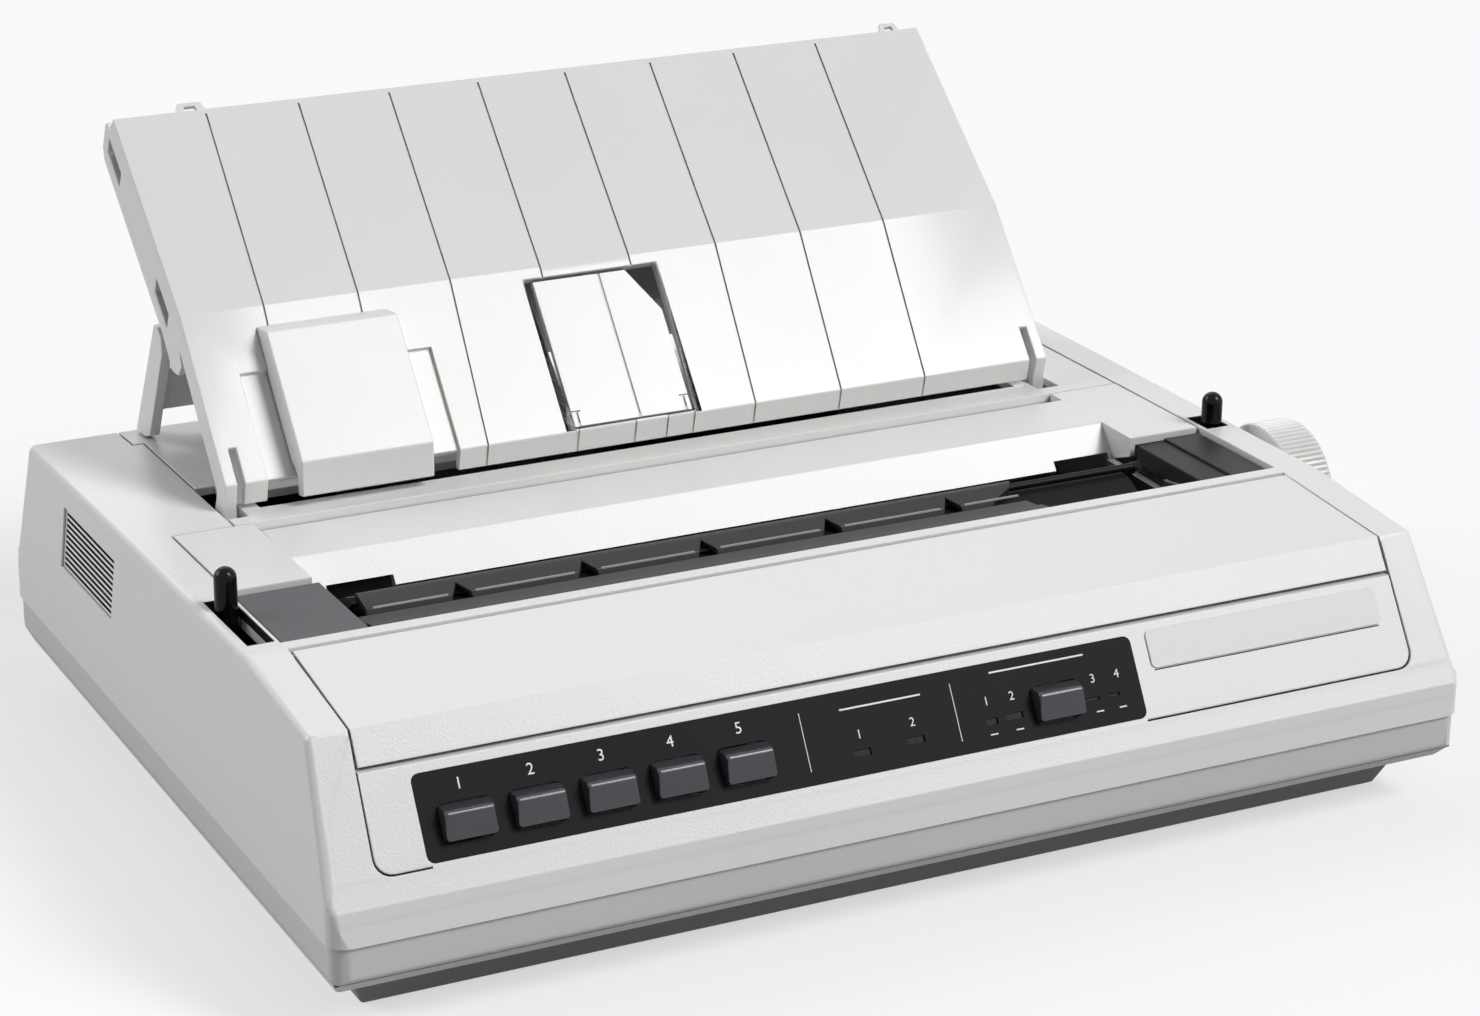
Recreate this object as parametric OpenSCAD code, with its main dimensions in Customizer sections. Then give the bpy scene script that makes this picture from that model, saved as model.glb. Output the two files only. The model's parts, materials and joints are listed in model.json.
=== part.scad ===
// Desktop dot matrix printer with hinged covers and a raised paper separator.
// Origin: centre of the case's footprint on the table. The front faces -Y, +X is the knob side, +Z is up.

/* [Case] */
// Width of the case at the joint of its two halves
case_w = 360; // [350:1:380]
// Depth of the case at the joint of its two halves
case_d = 280; // [276:1:300]
// Height of the joint between the lower and the upper case
parting_z = 29; // [27:0.5:31]
// Height where the upright skirt turns into the sloped front and the drafted sides
skirt_z = 38.7; // [37:0.1:40]
// Lean of the upper case's sides, in degrees
side_draft = 6; // [4:0.5:7]
// Setback of the skirt's top edge from the front
skirt_back = 1.8; // [1:0.1:3]
// Setback of the front ridge, where the sloped front meets the deck
front_ridge_back = 25.8; // [24:0.1:28]
// Deck height at the front ridge
front_ridge_z = 79.6; // [79:0.1:81]
// Setback of the rail between the access cover and the paper well
rail_back = 74.3; // [73:0.1:76]
// Deck height at the rail
rail_z = 83.7; // [83.4:0.1:84.5]
// Width of the rail, front to back
rail_w = 5.3; // [4:0.1:6]
// Length of the open paper well behind the rail
well_len = 42.9; // [42:0.1:45]
// Length of the middle cover's ears from the well to the rear cover
middle_len = 49.7; // [48:0.1:52]
// Deck height where the middle cover meets the rear cover
middle_z = 82.6; // [82.4:0.1:83.2]
// Setback of the rear edge of the deck from the back
rear_ridge_back = 8.4; // [7:0.1:10]
// Deck height at the rear edge
rear_ridge_z = 81.1; // [81:0.1:81.6]
// Wall thickness of all case mouldings
wall_t = 2.6; // [2.4:0.1:2.8]
// Rounding of the case's corners in plan
corner_r = 6; // [5:0.5:10]
// Height of the dark base pan under the lower case
pan_h = 13.1; // [12:0.1:14]
// Height of the bevel round the lower case's bottom edge, and its width at front and back
bevel = 6.4; // [4:0.1:7]
// Width of that bevel on the two sides
bevel_side = 2.8; // [2:0.1:6]
// Inset of the lower case's walls from the joint line
lower_inset = 0.8; // [0.4:0.1:1.5]
// Inset of the base pan from the case's front, at its foot
pan_inset_y = 20.6; // [16:0.1:24]
// Inset of the base pan from the case's sides, at its foot
pan_inset_x = 15.7; // [12:0.1:20]
// Flare of the base pan's walls over their height
pan_flare = 5.5; // [2:0.1:7]
// Radius of the rubber feet
foot_r = 8; // [6:0.5:10]
// Height that the feet stand out of the base pan
foot_h = 0.8; // [0.5:0.1:1.5]

/* [Covers] */
// Gap between a cover and the opening it closes
cover_gap = 0.7; // [0.4:0.05:0.8]
// Gap between the control panel and the opening it fills
panel_gap = 0.4; // [0.3:0.05:0.6]
// Distance of the access cover's rear corners from the case's widest line
access_margin_rear = 17.6; // [17:0.1:20]
// Distance of the control panel's lower corners from the case's widest line
access_margin_front = 15.1; // [14:0.1:16]
// Height of the access cover's front lower edge
access_edge_z = 70.2; // [69:0.1:71]
// Finger gap between the access cover and the control panel
finger_gap = 1.1; // [0.8:0.1:2.5]
// Height of the control panel's lower edge
panel_edge_z = 44.8; // [44:0.1:46]
// Radius of the hinge barrel along the access cover's rear edge
access_barrel_r = 2; // [1.8:0.1:2.2]
// Radius of the access cover's and the rear cover's hinge pins
cover_pin_r = 1.1; // [1:0.05:1.3]
// Distance of the paper well's ends from the case's widest line
well_margin = 17.4; // [17:0.1:19]
// Width of the rear cover's strip outside the separator's left side plate
sep_edge_strip = 0.7; // [0.4:0.1:1.2]
// Distance of the rear cover's right edge from the case's widest line
rear_margin_right = 18.2; // [17:0.1:20]
// Depth of the step in front of the rear cover, a finger grip to lift it
grip_depth = 3; // [2:0.1:3.2]
// Length of that step
grip_len = 8; // [6:0.1:10]
// Width of the middle cover's ears, beside the ramp and the finger grip
ear_w = 25.4; // [24.6:0.1:26.6]
// Slope of the ramp into the paper well, in degrees
ramp_angle = 52; // [48:1:56]
// Depth of the ramp below the deck
ramp_depth = 10.6; // [10:0.1:11]
// Length of the flat ear in front of the ramp line
ear_len = 17.5; // [16:0.1:19]

/* [Platen] */
// Distance of the platen's axis behind the rail's rear face
platen_back = 29.4; // [29:0.1:30]
// Height of the platen's axis
platen_z = 62.9; // [62.5:0.1:63.2]
// Radius of the platen's rubber
platen_r = 15; // [14.6:0.1:15.2]
// Room between each end of the platen's rubber and the paper well's end
platen_end_room = 36.6; // [35.6:0.5:42.6]
// Radius of the platen's steel shaft
platen_shaft_r = 4; // [3.5:0.1:4.5]
// Radial running clearance of every shaft in its bearing
run_gap = 0.06; // [0.03:0.01:0.1]
// Radius of the platen knob
knob_r = 22.3; // [21:0.1:23]
// Width of the platen knob
knob_w = 15; // [12:0.5:20]
// Distance of the knob's inner face inside the case's widest line
knob_inset = 3; // [2:0.1:3.5]

/* [Gears] */
// Tooth size of the paper feed gears
gear_module = 0.8; // [0.75:0.01:0.82]
// Teeth of the platen gear
platen_teeth = 36; // [34:1:38]
// Teeth of the idler gear
idler_teeth = 22; // [20:1:24]
// Teeth of the paper feed motor's pinion
pinion_teeth = 12; // [10:1:14]
// Width of the gears
gear_w = 5; // [4:0.5:6]
// Play between the pitch circles of two meshed gears
gear_play = 0.12; // [0.1:0.01:0.2]

/* [Separator] */
// Half width of the separator over its side plates
sep_half = 141.8; // [141.4:0.1:142.2]
// Width of the open slots beside the separator's lower part, side plates included
sep_slot_w = 6.3; // [5.8:0.1:7.3]
// Thickness of the separator's side plates
sep_side_t = 4; // [3:0.1:4.2]
// Thickness of the separator's panel
sep_t = 3.6; // [3:0.1:4]
// Distance of the panel's front lip behind the rear cover's front edge
sep_lip_back = 9.8; // [9:0.1:11]
// Height of the panel's lower lip
sep_lip_z = 91.2; // [90.5:0.1:92]
// Slope of the lower part, in degrees
sep_low_angle = 50; // [48:0.5:52]
// Length of the lower part
sep_low_len = 55.6; // [54:0.1:58]
// Slope of the upper part, in degrees
sep_up_angle = 40; // [38:0.5:42]
// Length of the upper part
sep_up_len = 74; // [70:0.5:80]
// Depth of the side plates behind the front surface
sep_flange = 8.9; // [8:0.1:9.5]
// Depth of the whole separator behind its front surface
sep_depth = 22.3; // [21:0.1:23]
// Number of guide grooves in the separator
groove_count = 8; // [4:1:9]
// Distance between two guide grooves
groove_pitch = 30.6; // [26:0.1:31]
// Width of a guide groove
groove_w = 0.7; // [0.6:0.1:1.6]
// Depth of a guide groove
groove_d = 0.6; // [0.4:0.1:1]
// Half width of the recess that the paper guide slides in
guide_recess_half = 31; // [30:0.5:33]
// Place of the recess's middle across the separator
guide_recess_x = -97; // [-99:0.5:-95]
// Width of the sliding paper guide
guide_w = 42.6; // [40:0.1:44]
// Height of the paper guide over the separator's front surface
guide_h = 7.5; // [6:0.1:9]
// Left edge of the window in the separator
window_x0 = -30; // [-31:0.1:-29]
// Right edge of the window in the separator
window_x1 = 15.6; // [14.5:0.1:17]
// Tilt of the folded separator from its raised place, in degrees
sep_fold = 24; // [20:1:24]

/* [Levers] */
// Radius of both lever caps
lever_r = 3.3; // [3:0.1:3.4]
// Distance of both levers inside the case's widest line
lever_inset = 12.2; // [12:0.1:12.5]
// Height that the paper bail lever stands out of the deck
bail_lever_h = 12.9; // [10:0.1:15]
// Height that the release lever stands out of the deck
release_lever_h = 10.6; // [8:0.1:13]
// Swing of the bail lever, in degrees
bail_lever_swing = 27; // [20:1:27]

/* [Control panel] */
// Width of one panel key
key_w = 14.8; // [13:0.1:16]
// Height of one panel key
key_h = 10.2; // [9.6:0.1:11]
// Height that a key's upper edge stands out of the panel
key_out = 5; // [4:0.1:6]
// Height that a key's lower edge stands out of the panel
key_out_low = 2.7; // [2:0.1:3.5]
// Setback of a key's sloped top
key_slope = 2.6; // [1.5:0.1:4]
// Travel of a key
key_travel = 0.8; // [0.5:0.1:1]
// Distance between two keys of the row
key_pitch = 20.7; // [18:0.1:21]
// Distance of the first key's middle from the overlay's left edge
key_first_in = 12.9; // [12:0.1:14]
// Distance of the single key's middle from the overlay's right edge
key_single_in = 28; // [24.5:0.1:30]

/* [Carriage] */
// Radius of the carriage's guide rod
rod_r = 4; // [3.5:0.1:4.4]
// Distance of the guide rod in front of the platen's axis
rod_front = 39; // [38:0.5:41]
// Height of the guide rod's axis
rod_z = 43; // [42:0.5:44]
// Half width of the carriage
carriage_half = 20; // [16:0.5:22]
// Distance of the resting carriage's middle from the right side frame
carriage_rest = 30.5; // [29.5:0.5:43.5]
// Radius of the belt pulleys
pulley_r = 7; // [6:0.5:8]
// Distance of each belt pulley from its side frame
pulley_in = 15.5; // [14.5:0.5:16.5]

/* [Hidden] */
$fn = 48;

case_color = [0.89, 0.885, 0.875];
lower_color = [0.72, 0.72, 0.71];
pan_color = [0.3, 0.3, 0.3];
cap_color = [0.33, 0.335, 0.345];
black = [0.06, 0.06, 0.065];
steel = [0.7, 0.71, 0.72];
board_color = [0.1, 0.35, 0.18];
key_color = [0.28, 0.29, 0.31];

air = 0.3;                       // gap between two bodies that pass each other
cut = 1;                         // how far a cutter runs past what it cuts
y_front = -case_d / 2;
y_back = case_d / 2;
y_skirt = y_front + skirt_back;
y_ridge = y_front + front_ridge_back;
y_rail = y_front + rail_back;
y_well = y_rail + rail_w;
y_ear = y_well + well_len;
y_ramp = y_ear + ear_len;
y_join = y_ear + middle_len;
y_rear = y_back - rear_ridge_back;
side_lean = tan(side_draft);
access_half_rear = case_w / 2 - access_margin_rear;
access_half_front = case_w / 2 - access_margin_front;
well_half = case_w / 2 - well_margin;
ramp_half = well_half - ear_w;
rear_cover_left = -sep_half - sep_edge_strip;
rear_cover_right = case_w / 2 - rear_margin_right;
platen_half = well_half - platen_end_room;
knob_x = case_w / 2 - knob_inset;
lever_x = case_w / 2 - lever_inset;
sep_panel_half = sep_half - sep_slot_w;
face_tilt = atan2(front_ridge_back - skirt_back, front_ridge_z - skirt_z);

// ---------- plane geometry ----------
function unit(v) = v / norm(v);
function inward(a, b) = unit([a.y - b.y, b.x - a.x]);
function inset_corner(p, c, n, t) = let (n1 = inward(p, c), n2 = inward(c, n)) c + t * (n1 + n2) / (1 + n1 * n2);
function inset(pts, t) = let (k = len(pts))
    [for (i = [0:k - 1]) inset_corner(pts[(i + k - 1) % k], pts[i], pts[(i + 1) % k], t)];
function rounded(w, d, r, steps = 6) =
    [for (q = [0:3]) for (i = [0:steps]) let (a = 90 * q + 90 * i / steps, sx = (q == 0 || q == 3) ? 1 : -1, sy = q < 2 ? 1 : -1)
        [sx * (w / 2 - r) + r * cos(a), sy * (d / 2 - r) + r * sin(a)]];
function height_on(a, b, y) = a.y + (b.y - a.y) * (y - a.x) / (b.x - a.x);

// Draws a [y, z] outline as a bar along X, from x0 to x1.
module along_x(x0, x1) translate([x0, 0, 0]) rotate([90, 0, 90]) linear_extrude(x1 - x0) children();
// Draws an [x, z] outline as a bar along Y, from y0 to y1.
module along_y(y0, y1) translate([0, y1, 0]) rotate([90, 0, 0]) linear_extrude(y1 - y0) children();
module rod_x(x0, x1, r) translate([x0, 0, 0]) rotate([0, 90, 0]) cylinder(r = r, h = x1 - x0);
module block(x0, x1, y0, y1, z0, z1) translate([x0, y0, z0]) cube([x1 - x0, y1 - y0, z1 - z0]);
module both_sides() { children(); mirror([1, 0, 0]) children(); }

// ---------- the case as a whole ----------
deck_ridge = [y_ridge, front_ridge_z];
deck_rail = [y_rail, rail_z];
deck_join = [y_join, middle_z];
deck_rear = [y_rear, rear_ridge_z];
function deck_z(y) = y < y_rail ? height_on(deck_ridge, deck_rail, y)
    : y < y_join ? height_on(deck_rail, deck_join, y) : height_on(deck_join, deck_rear, y);
function face_y(z) = y_skirt + (z - skirt_z) * tan(face_tilt);
function wall_x(z) = case_w / 2 - max(0, z - skirt_z) * side_lean;
function side_outline(bottom) = [[y_front, bottom], [y_back, bottom], [y_back, parting_z], deck_rear, deck_join,
    deck_rail, deck_ridge, [y_skirt, skirt_z], [y_front, parting_z]];
front_top = 100;
function front_outline(bottom) = [[-case_w / 2, bottom], [case_w / 2, bottom], [case_w / 2, skirt_z],
    [wall_x(front_top), front_top], [-wall_x(front_top), front_top], [-case_w / 2, skirt_z]];

module case_body(t, bottom) intersection() {
    along_x(-case_w, case_w) polygon(inset(side_outline(bottom - t - cut), t));
    along_y(-case_d, case_d) polygon(inset(front_outline(bottom - t - cut), t));
    translate([0, 0, bottom]) linear_extrude(front_top) polygon(rounded(case_w - 2 * t, case_d - 2 * t, corner_r - t));
}
module case_shell(t = wall_t) difference() {
    case_body(0, parting_z);
    case_body(t, parting_z - cut);
}

// ---------- base ----------
pan_w = case_w - 2 * pan_inset_x;
pan_d = case_d - 2 * pan_inset_y;
floor_z = pan_h + wall_t;
foot_x = pan_w / 2 - 20;
foot_y = pan_d / 2 - 18;
foot_seat = 2;
module pan_solid(t, bottom, top) intersection() {
    along_y(-case_d, case_d) polygon([[-pan_w / 2 + t, bottom], [pan_w / 2 - t, bottom],
        [pan_w / 2 + pan_flare - t, top], [-pan_w / 2 - pan_flare + t, top]]);
    along_x(-case_w, case_w) polygon([[-pan_d / 2 + t, bottom], [pan_d / 2 - t, bottom],
        [pan_d / 2 + pan_flare - t, top], [-pan_d / 2 - pan_flare + t, top]]);
}
module at_feet() for (sx = [-1, 1], sy = [-1, 1]) translate([sx * foot_x, sy * foot_y, 0]) children();
module base_pan() color(pan_color) difference() {
    pan_solid(0, foot_h, pan_h);
    translate([0, 0, foot_seat + foot_h + wall_t]) pan_solid(wall_t, foot_h, pan_h);
    at_feet() cylinder(r = foot_r + 0.2, h = foot_h + foot_seat);
}
module rubber_feet() color(black) at_feet() cylinder(r = foot_r, h = foot_h + foot_seat);

post_r = 4;
post_top = parting_z + 11;
screw_x = case_w / 2 - 30;
screw_y = case_d / 2 - 11;
screw_r = 1.5;
screw_head_r = 3;
module at_screws() for (sx = [-1, 1], sy = [-1, 1]) translate([sx * screw_x, sy * screw_y, 0]) children();
function lower_outline(half, t, in) = [[-half + t + in, pan_h + t], [half - t - in, pan_h + t],
    [half - t, pan_h + bevel + t * 0.4], [half - t, parting_z + t], [-half + t, parting_z + t],
    [-half + t, pan_h + bevel + t * 0.4]];
module lower_solid(t) intersection() {
    along_y(-case_d, case_d) polygon(lower_outline(case_w / 2 - lower_inset, t, bevel_side));
    along_x(-case_w, case_w) polygon(lower_outline(case_d / 2 - lower_inset, t, bevel));
    translate([0, 0, pan_h]) linear_extrude(parting_z - pan_h + t)
        polygon(rounded(case_w - 2 * lower_inset - 2 * t, case_d - 2 * lower_inset - 2 * t, corner_r - lower_inset - t));
}
module lower_case() color(lower_color) {
    difference() {
        union() {
            difference() {
                lower_solid(0);
                lower_solid(wall_t);
            }
            at_screws() translate([0, 0, pan_h + wall_t / 2]) cylinder(r = post_r, h = parting_z - pan_h - wall_t / 2);
        }
        at_screws() {
            cylinder(r = screw_r + 0.2, h = parting_z + cut);
            cylinder(r = screw_head_r + 0.2, h = pan_h + 2.2);
        }
    }
}
module case_screws() color(steel) at_screws() {
    translate([0, 0, pan_h + 0.2]) cylinder(r = screw_head_r, h = 2);
    translate([0, 0, pan_h + 0.2]) cylinder(r = screw_r, h = post_top - pan_h - 2);
}

// ---------- openings of the upper case ----------
opening_top = front_top;
// Plan of the access cover and panel opening, grown by t on every free edge.
function access_half(y) = access_half_rear + (access_half_front - access_half_rear)
    * (y_rail - y) / (y_rail - face_y(panel_edge_z));
// Opening of the panel, square to the face and with two rounded lower corners; grown by t.
panel_corner = 5;
module panel_window(t) on_face(panel_edge_z) translate([0, 0, -case_d / 4]) linear_extrude(case_d / 2) polygon(concat(
    [for (i = [0:5]) let (a = 270 + 18 * i) [access_half_front + t - panel_corner + panel_corner * cos(a),
        panel_corner - t + panel_corner * sin(a)]],
    [[access_half(y_ridge) + t, up_face(front_ridge_z - panel_edge_z)], [-access_half(y_ridge) - t, up_face(front_ridge_z - panel_edge_z)]],
    [for (i = [0:5]) let (a = 180 + 18 * i) [-access_half_front - t + panel_corner + panel_corner * cos(a),
        panel_corner - t + panel_corner * sin(a)]]));
module access_prism(t, z0, y1) translate([0, 0, z0]) linear_extrude(opening_top)
    polygon([[-access_half(y_front) - t, y_front - cut], [access_half(y_front) + t, y_front - cut],
        [access_half(y1) + t, y1], [-access_half(y1) - t, y1]]);
module rear_plan(t) {
    translate([rear_cover_left - t, y_join]) square([rear_cover_right - rear_cover_left + 2 * t, y_rear - y_join]);
    translate([rear_cover_left - rear_ear - t, y_rear_ear - t])
        square([rear_cover_right - rear_cover_left + 2 * (rear_ear + t), y_rear - y_rear_ear + t]);
}
rear_ear = 3.5;
rear_ear_len = 16;
y_rear_ear = y_rear - rear_ear_len;

vent_y = 68.6;
vent_len = 48;
vent_z = 63.5;
vent_h = 18.6;
vent_recess = 0.8;
vent_slots = 10;
module at_vent() translate([-wall_x(vent_z), vent_y, vent_z]) rotate([0, side_draft, 0]) children();

slot_half = lever_r + 0.35;
bail_slot_y = [y_well + 1.6, y_well + 37.2];
release_slot_y = [y_well + 40, y_well + 51.4];
platen_y = y_well + platen_back;
pocket_r = knob_r + 1.4;
pocket_x = knob_x - 2.6;
pocket_wall = 2.2;
rear_face_lean = rear_ridge_back / (rear_ridge_z - parting_z);
inlet_x = 52 - case_w / 2;
inlet_w = 28;
inlet_h = 20;
switch_x = 92 - case_w / 2;
switch_w = 22;
switch_h = 14;
port_x = 70;
port_w = 72;
port_h = 16;
port_z = 48;
function back_y(z) = y_back - max(0, z - parting_z) * rear_face_lean;

access_axis = [y_rail - cover_gap - access_barrel_r, rail_z - access_barrel_r + 0.1];
access_hinge_y = access_axis[0];
access_hinge_z = access_axis[1] - 0.1;
rear_hinge_y = y_rear - 3.4;
rear_hinge_z = deck_z(rear_hinge_y) - 3.2;
hinge_well_z = rear_hinge_z - 6.8;
rear_strip = 4.5;
lug_t = 4;
pin_len = 2.6;
rear_lug_x = [rear_cover_left - rear_ear - cover_gap - lug_t, rear_cover_right + rear_ear + cover_gap];
ledge_z = middle_z - grip_depth - wall_t;
ledge_w = 9;

module vent_opening() at_vent() translate([0, 0, 0]) cube([12, vent_len + 0.4, vent_h + 0.4], center = true);
// Moves its children to the back: local X is across, local Y runs up the wall and local Z points out.
module on_back(x, z) translate([x, back_y(z), z]) rotate([90 - atan(rear_face_lean), 0, 180]) children();
module rear_window(x, z, w, h) on_back(x, z) cube([w, h, 16], center = true);
module lever_slot(x, ys) block(x - slot_half, x + slot_half, ys[0], ys[1], platen_z + 10, opening_top);
function cap_z(y) = deck_z(y) - cap_drop;
cap_drop = 1.3;
cap_t = 2.2;
cap_y = [y_well + 0.5, y_ear - 1.5];
module cap_bar(x0, x1, top) along_x(x0, x1) polygon([
    [cap_y[0], cap_z(cap_y[0]) + top], [cap_y[1], cap_z(cap_y[1]) + top],
    [cap_y[1], cap_z(cap_y[1]) - cap_t - 2.4], [cap_y[0], cap_z(cap_y[0]) - cap_t - 2.4]]);
module cap_ledge() {
    cap_bar(well_half - 2.2, well_half + 1.3, -cap_t);
    cap_bar(well_half, well_half + 1.3, 0);
}

module upper_case() color(case_color) {
    difference() {
        union() {
            case_shell();
            block(-wall_x(ledge_z) + 1, wall_x(ledge_z) - 1, y_join - ledge_w / 2, y_join + ledge_w / 2, ledge_z - wall_t, ledge_z);
            along_x(-well_half - 6, well_half + 6) polygon([[y_rail, rail_z - 8], [y_well, rail_z - 8],
                [y_well, deck_z(y_well)], deck_rail]);
            both_sides() block(access_half_rear + cover_gap, access_half_rear + cover_gap + lug_t,
                access_hinge_y - 3, access_hinge_y + 3, access_hinge_z - 3.4, deck_z(access_hinge_y - 3) - cut);
            for (x = rear_lug_x) block(x, x + lug_t, rear_hinge_y - 3.2, rear_hinge_y + 2.2,
                rear_hinge_z - 3.4, deck_z(rear_hinge_y + 2.2) - cut);
            intersection() {
                case_body(0, parting_z);
                translate([0, platen_y, platen_z]) rod_x(pocket_x - pocket_wall, case_w / 2, pocket_r + pocket_wall);
            }
            at_screws() translate([0, 0, parting_z]) cylinder(r = post_r, h = post_top - parting_z);
            for (sx = [-1, 1]) {
                block(sx * screw_x - 1.2, sx * screw_x + 1.2, y_front + wall_t + air, -screw_y, parting_z, post_top);
                block(sx * screw_x - 1.2, sx * screw_x + 1.2, screw_y, y_back - wall_t, parting_z, post_top);
            }
        }
        access_prism(0, access_edge_z - finger_gap, y_rail);
        intersection() {
            panel_window(0);
            block(-case_w, case_w, y_front - cut, y_rail, panel_edge_z - wall_t, front_ridge_z - wall_t);
        }
        block(-well_half, well_half, y_well, y_join - ledge_w / 2, ledge_z - wall_t - cut, opening_top);
        block(-well_half, well_half, y_well, y_join, ledge_z, opening_top);
        translate([0, 0, ledge_z]) linear_extrude(opening_top) rear_plan(cover_gap);
        block(rear_cover_left - rear_ear - cover_gap, rear_cover_right + rear_ear + cover_gap,
            y_rear_ear - cover_gap, y_back + cut, hinge_well_z, opening_top);
        vent_opening();
        lever_slot(-lever_x, bail_slot_y);
        lever_slot(lever_x, release_slot_y);
        translate([0, platen_y, platen_z]) {
            rod_x(pocket_x, case_w, pocket_r);
            rod_x(pocket_x - pocket_wall - cut, case_w, platen_shaft_r + 2);
        }
        rear_window(inlet_x, port_z, inlet_w + 0.4, inlet_h + 0.4);
        rear_window(switch_x, port_z, switch_w + 0.4, switch_h + 0.4);
        rear_window(port_x, port_z, port_w + 0.4, port_h + 0.4);
        both_sides() translate([0, access_hinge_y, access_hinge_z])
            rod_x(access_half_rear - cut, access_half_rear + cover_gap + pin_len, cover_pin_r + run_gap);
        translate([0, rear_hinge_y, rear_hinge_z])
            rod_x(rear_lug_x[0] + 1.4, rear_lug_x[1] + lug_t - 1.4, cover_pin_r + run_gap);
        at_screws() cylinder(r = screw_r + 0.02, h = post_top - 1);
    }
    both_sides() cap_ledge();
}

module side_vent() color(case_color) at_vent() difference() {
    translate([vent_recess, -vent_len / 2, -vent_h / 2]) cube([wall_t - vent_recess, vent_len, vent_h]);
    for (i = [0:vent_slots - 1])
        translate([-cut, -vent_len / 2 + 1.2, (i - (vent_slots - 1) / 2) * vent_h / (vent_slots + 0.5) - 0.45])
            cube([8, vent_len - 2.4, 0.9]);
}

// ---------- middle cover: rear finger grip, flat band, ramp and two ears ----------
ramp_run = ramp_depth / tan(ramp_angle);
ear_front_h = 2.6;
ear_wall_h = 6.2;
ear_wall_t = 1.8;
notch_l = [-ramp_half + 8.2, -ramp_half + 29.2];
notch_r = [ramp_half - 21.2, ramp_half - 1.2];
function middle_outline() = [
    [y_join - cover_gap, ledge_z], [y_join - cover_gap, middle_z - grip_depth],
    [y_join - grip_len, deck_z(y_join - grip_len)], [y_ramp, deck_z(y_ramp)],
    [y_ramp - ramp_run, deck_z(y_ramp) - ramp_depth],
    [y_ramp - ramp_run + 2.2, deck_z(y_ramp) - ramp_depth - 1.6],
    [y_ramp + 1.2, deck_z(y_ramp) - wall_t - 0.6], [y_join - grip_len - 2, ledge_z]];
function ear_outline() = [[y_join - cover_gap, ledge_z], [y_join - cover_gap, deck_z(y_join - cover_gap)],
    [y_ear, deck_z(y_ear)], [y_ear, deck_z(y_ear) - ear_front_h], [y_ramp + 1.2, deck_z(y_ramp) - wall_t - 0.6],
    [y_join - grip_len - 2, ledge_z]];
module middle_cover() color(case_color) difference() {
    union() {
        along_x(-ramp_half, ramp_half) polygon(middle_outline());
        both_sides() along_x(ramp_half, well_half - cover_gap) polygon(ear_outline());
        both_sides() along_x(ramp_half - 0.01, ramp_half + ear_wall_t) polygon([[y_ear, deck_z(y_ear)],
            [y_ear, deck_z(y_ear) - ear_wall_h], [y_ramp - ramp_run, deck_z(y_ramp) - ramp_depth + 1],
            [y_ramp + 1, deck_z(y_ramp) - wall_t], [y_ramp + 1, deck_z(y_ramp)]]);
    }
    for (n = [notch_l, notch_r])
        block(n[0], n[1], y_ear, y_ramp - 1, platen_z, deck_z(y_ramp) - ramp_depth * 0.76);
}

// ---------- access cover ----------
access_front_y = face_y(access_edge_z);
module access_cover() color(case_color) {
    difference() {
        intersection() {
            case_shell();
            access_prism(-cover_gap, access_edge_z, y_rail - cover_gap);
        }
        block(-case_w, case_w, access_hinge_y, y_rail + cut, access_hinge_z - 4, opening_top);
    }
    translate([0, access_hinge_y, access_hinge_z]) {
        rod_x(-access_half_rear + cover_gap, access_half_rear - cover_gap, access_barrel_r);
        rod_x(-access_half_rear - pin_len, access_half_rear + pin_len, cover_pin_r);
    }
    for (x = [-110, -37, 37, 110]) along_x(x - 0.9, x + 0.9) polygon([
        [y_ridge + 4, deck_z(y_ridge + 4) - wall_t + 0.2], [access_hinge_y - 4, deck_z(access_hinge_y - 4) - wall_t + 0.2],
        [access_hinge_y - 6, deck_z(access_hinge_y - 6) - wall_t - 3], [y_ridge + 8, deck_z(y_ridge + 8) - wall_t - 3]]);
}

// ---------- control panel on the sloped front ----------
// Moves its children to the face: local X is across, local Y runs up the slope and local Z points out.
module on_face(z, x = 0) translate([x, face_y(z), z]) rotate([90 - face_tilt, 0, 0]) children();
function up_face(dz) = dz / cos(face_tilt);
overlay_z = [45.8, 66.6];
overlay_mid = (overlay_z[0] + overlay_z[1]) / 2;
overlay_h = up_face(overlay_z[1] - overlay_z[0]);
overlay_in = 14.9;
overlay_w = 222.3;
overlay_x = [overlay_in - access_half_front, overlay_in - access_half_front + overlay_w];
overlay_t = 0.5;
key_z = 54.1;
key_gap = 0.35;
panel_board_gap = 7;
key_flange = 1;
key_xs = concat([for (i = [0:4]) overlay_x[0] + key_first_in + i * key_pitch], [overlay_x[1] - key_single_in]);
// Each light: distance from the overlay's left edge, height of its middle, width and height.
lights = [[131.2, 51.2, 5.2, 2], [148.1, 51.6, 5.6, 2], [172.8, 52.3, 3.8, 2], [180.3, 52.6, 5.4, 2],
    [205.9, 52.9, 5, 0.9], [213.2, 52.9, 3.6, 0.9]];
module rounded_plate(w, h, r, t) linear_extrude(t) polygon(rounded(w, h, r, 4));
module key_holes(t, grow) for (x = key_xs) on_face(key_z, x)
    translate([0, 0, -t]) rounded_plate(key_w + 2 * grow, key_h + 2 * grow, 1.2 + grow, 2 * t);
module light_holes(t) for (l = lights) on_face(l[1], overlay_x[0] + l[0])
    translate([0, 0, -t]) linear_extrude(2 * t) square([l[2], l[3]], center = true);
overlay_x_mid = (overlay_x[0] + overlay_x[1]) / 2;
board_x = [overlay_x[0] - 3, overlay_x[1] + 1.7];
board_w = board_x[1] - board_x[0];
board_mid = (board_x[0] + board_x[1]) / 2;
board_posts = [overlay_x[0] + 1, overlay_x[0] + 122, overlay_x[1] - 2.8];
board_h = 22;
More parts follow.
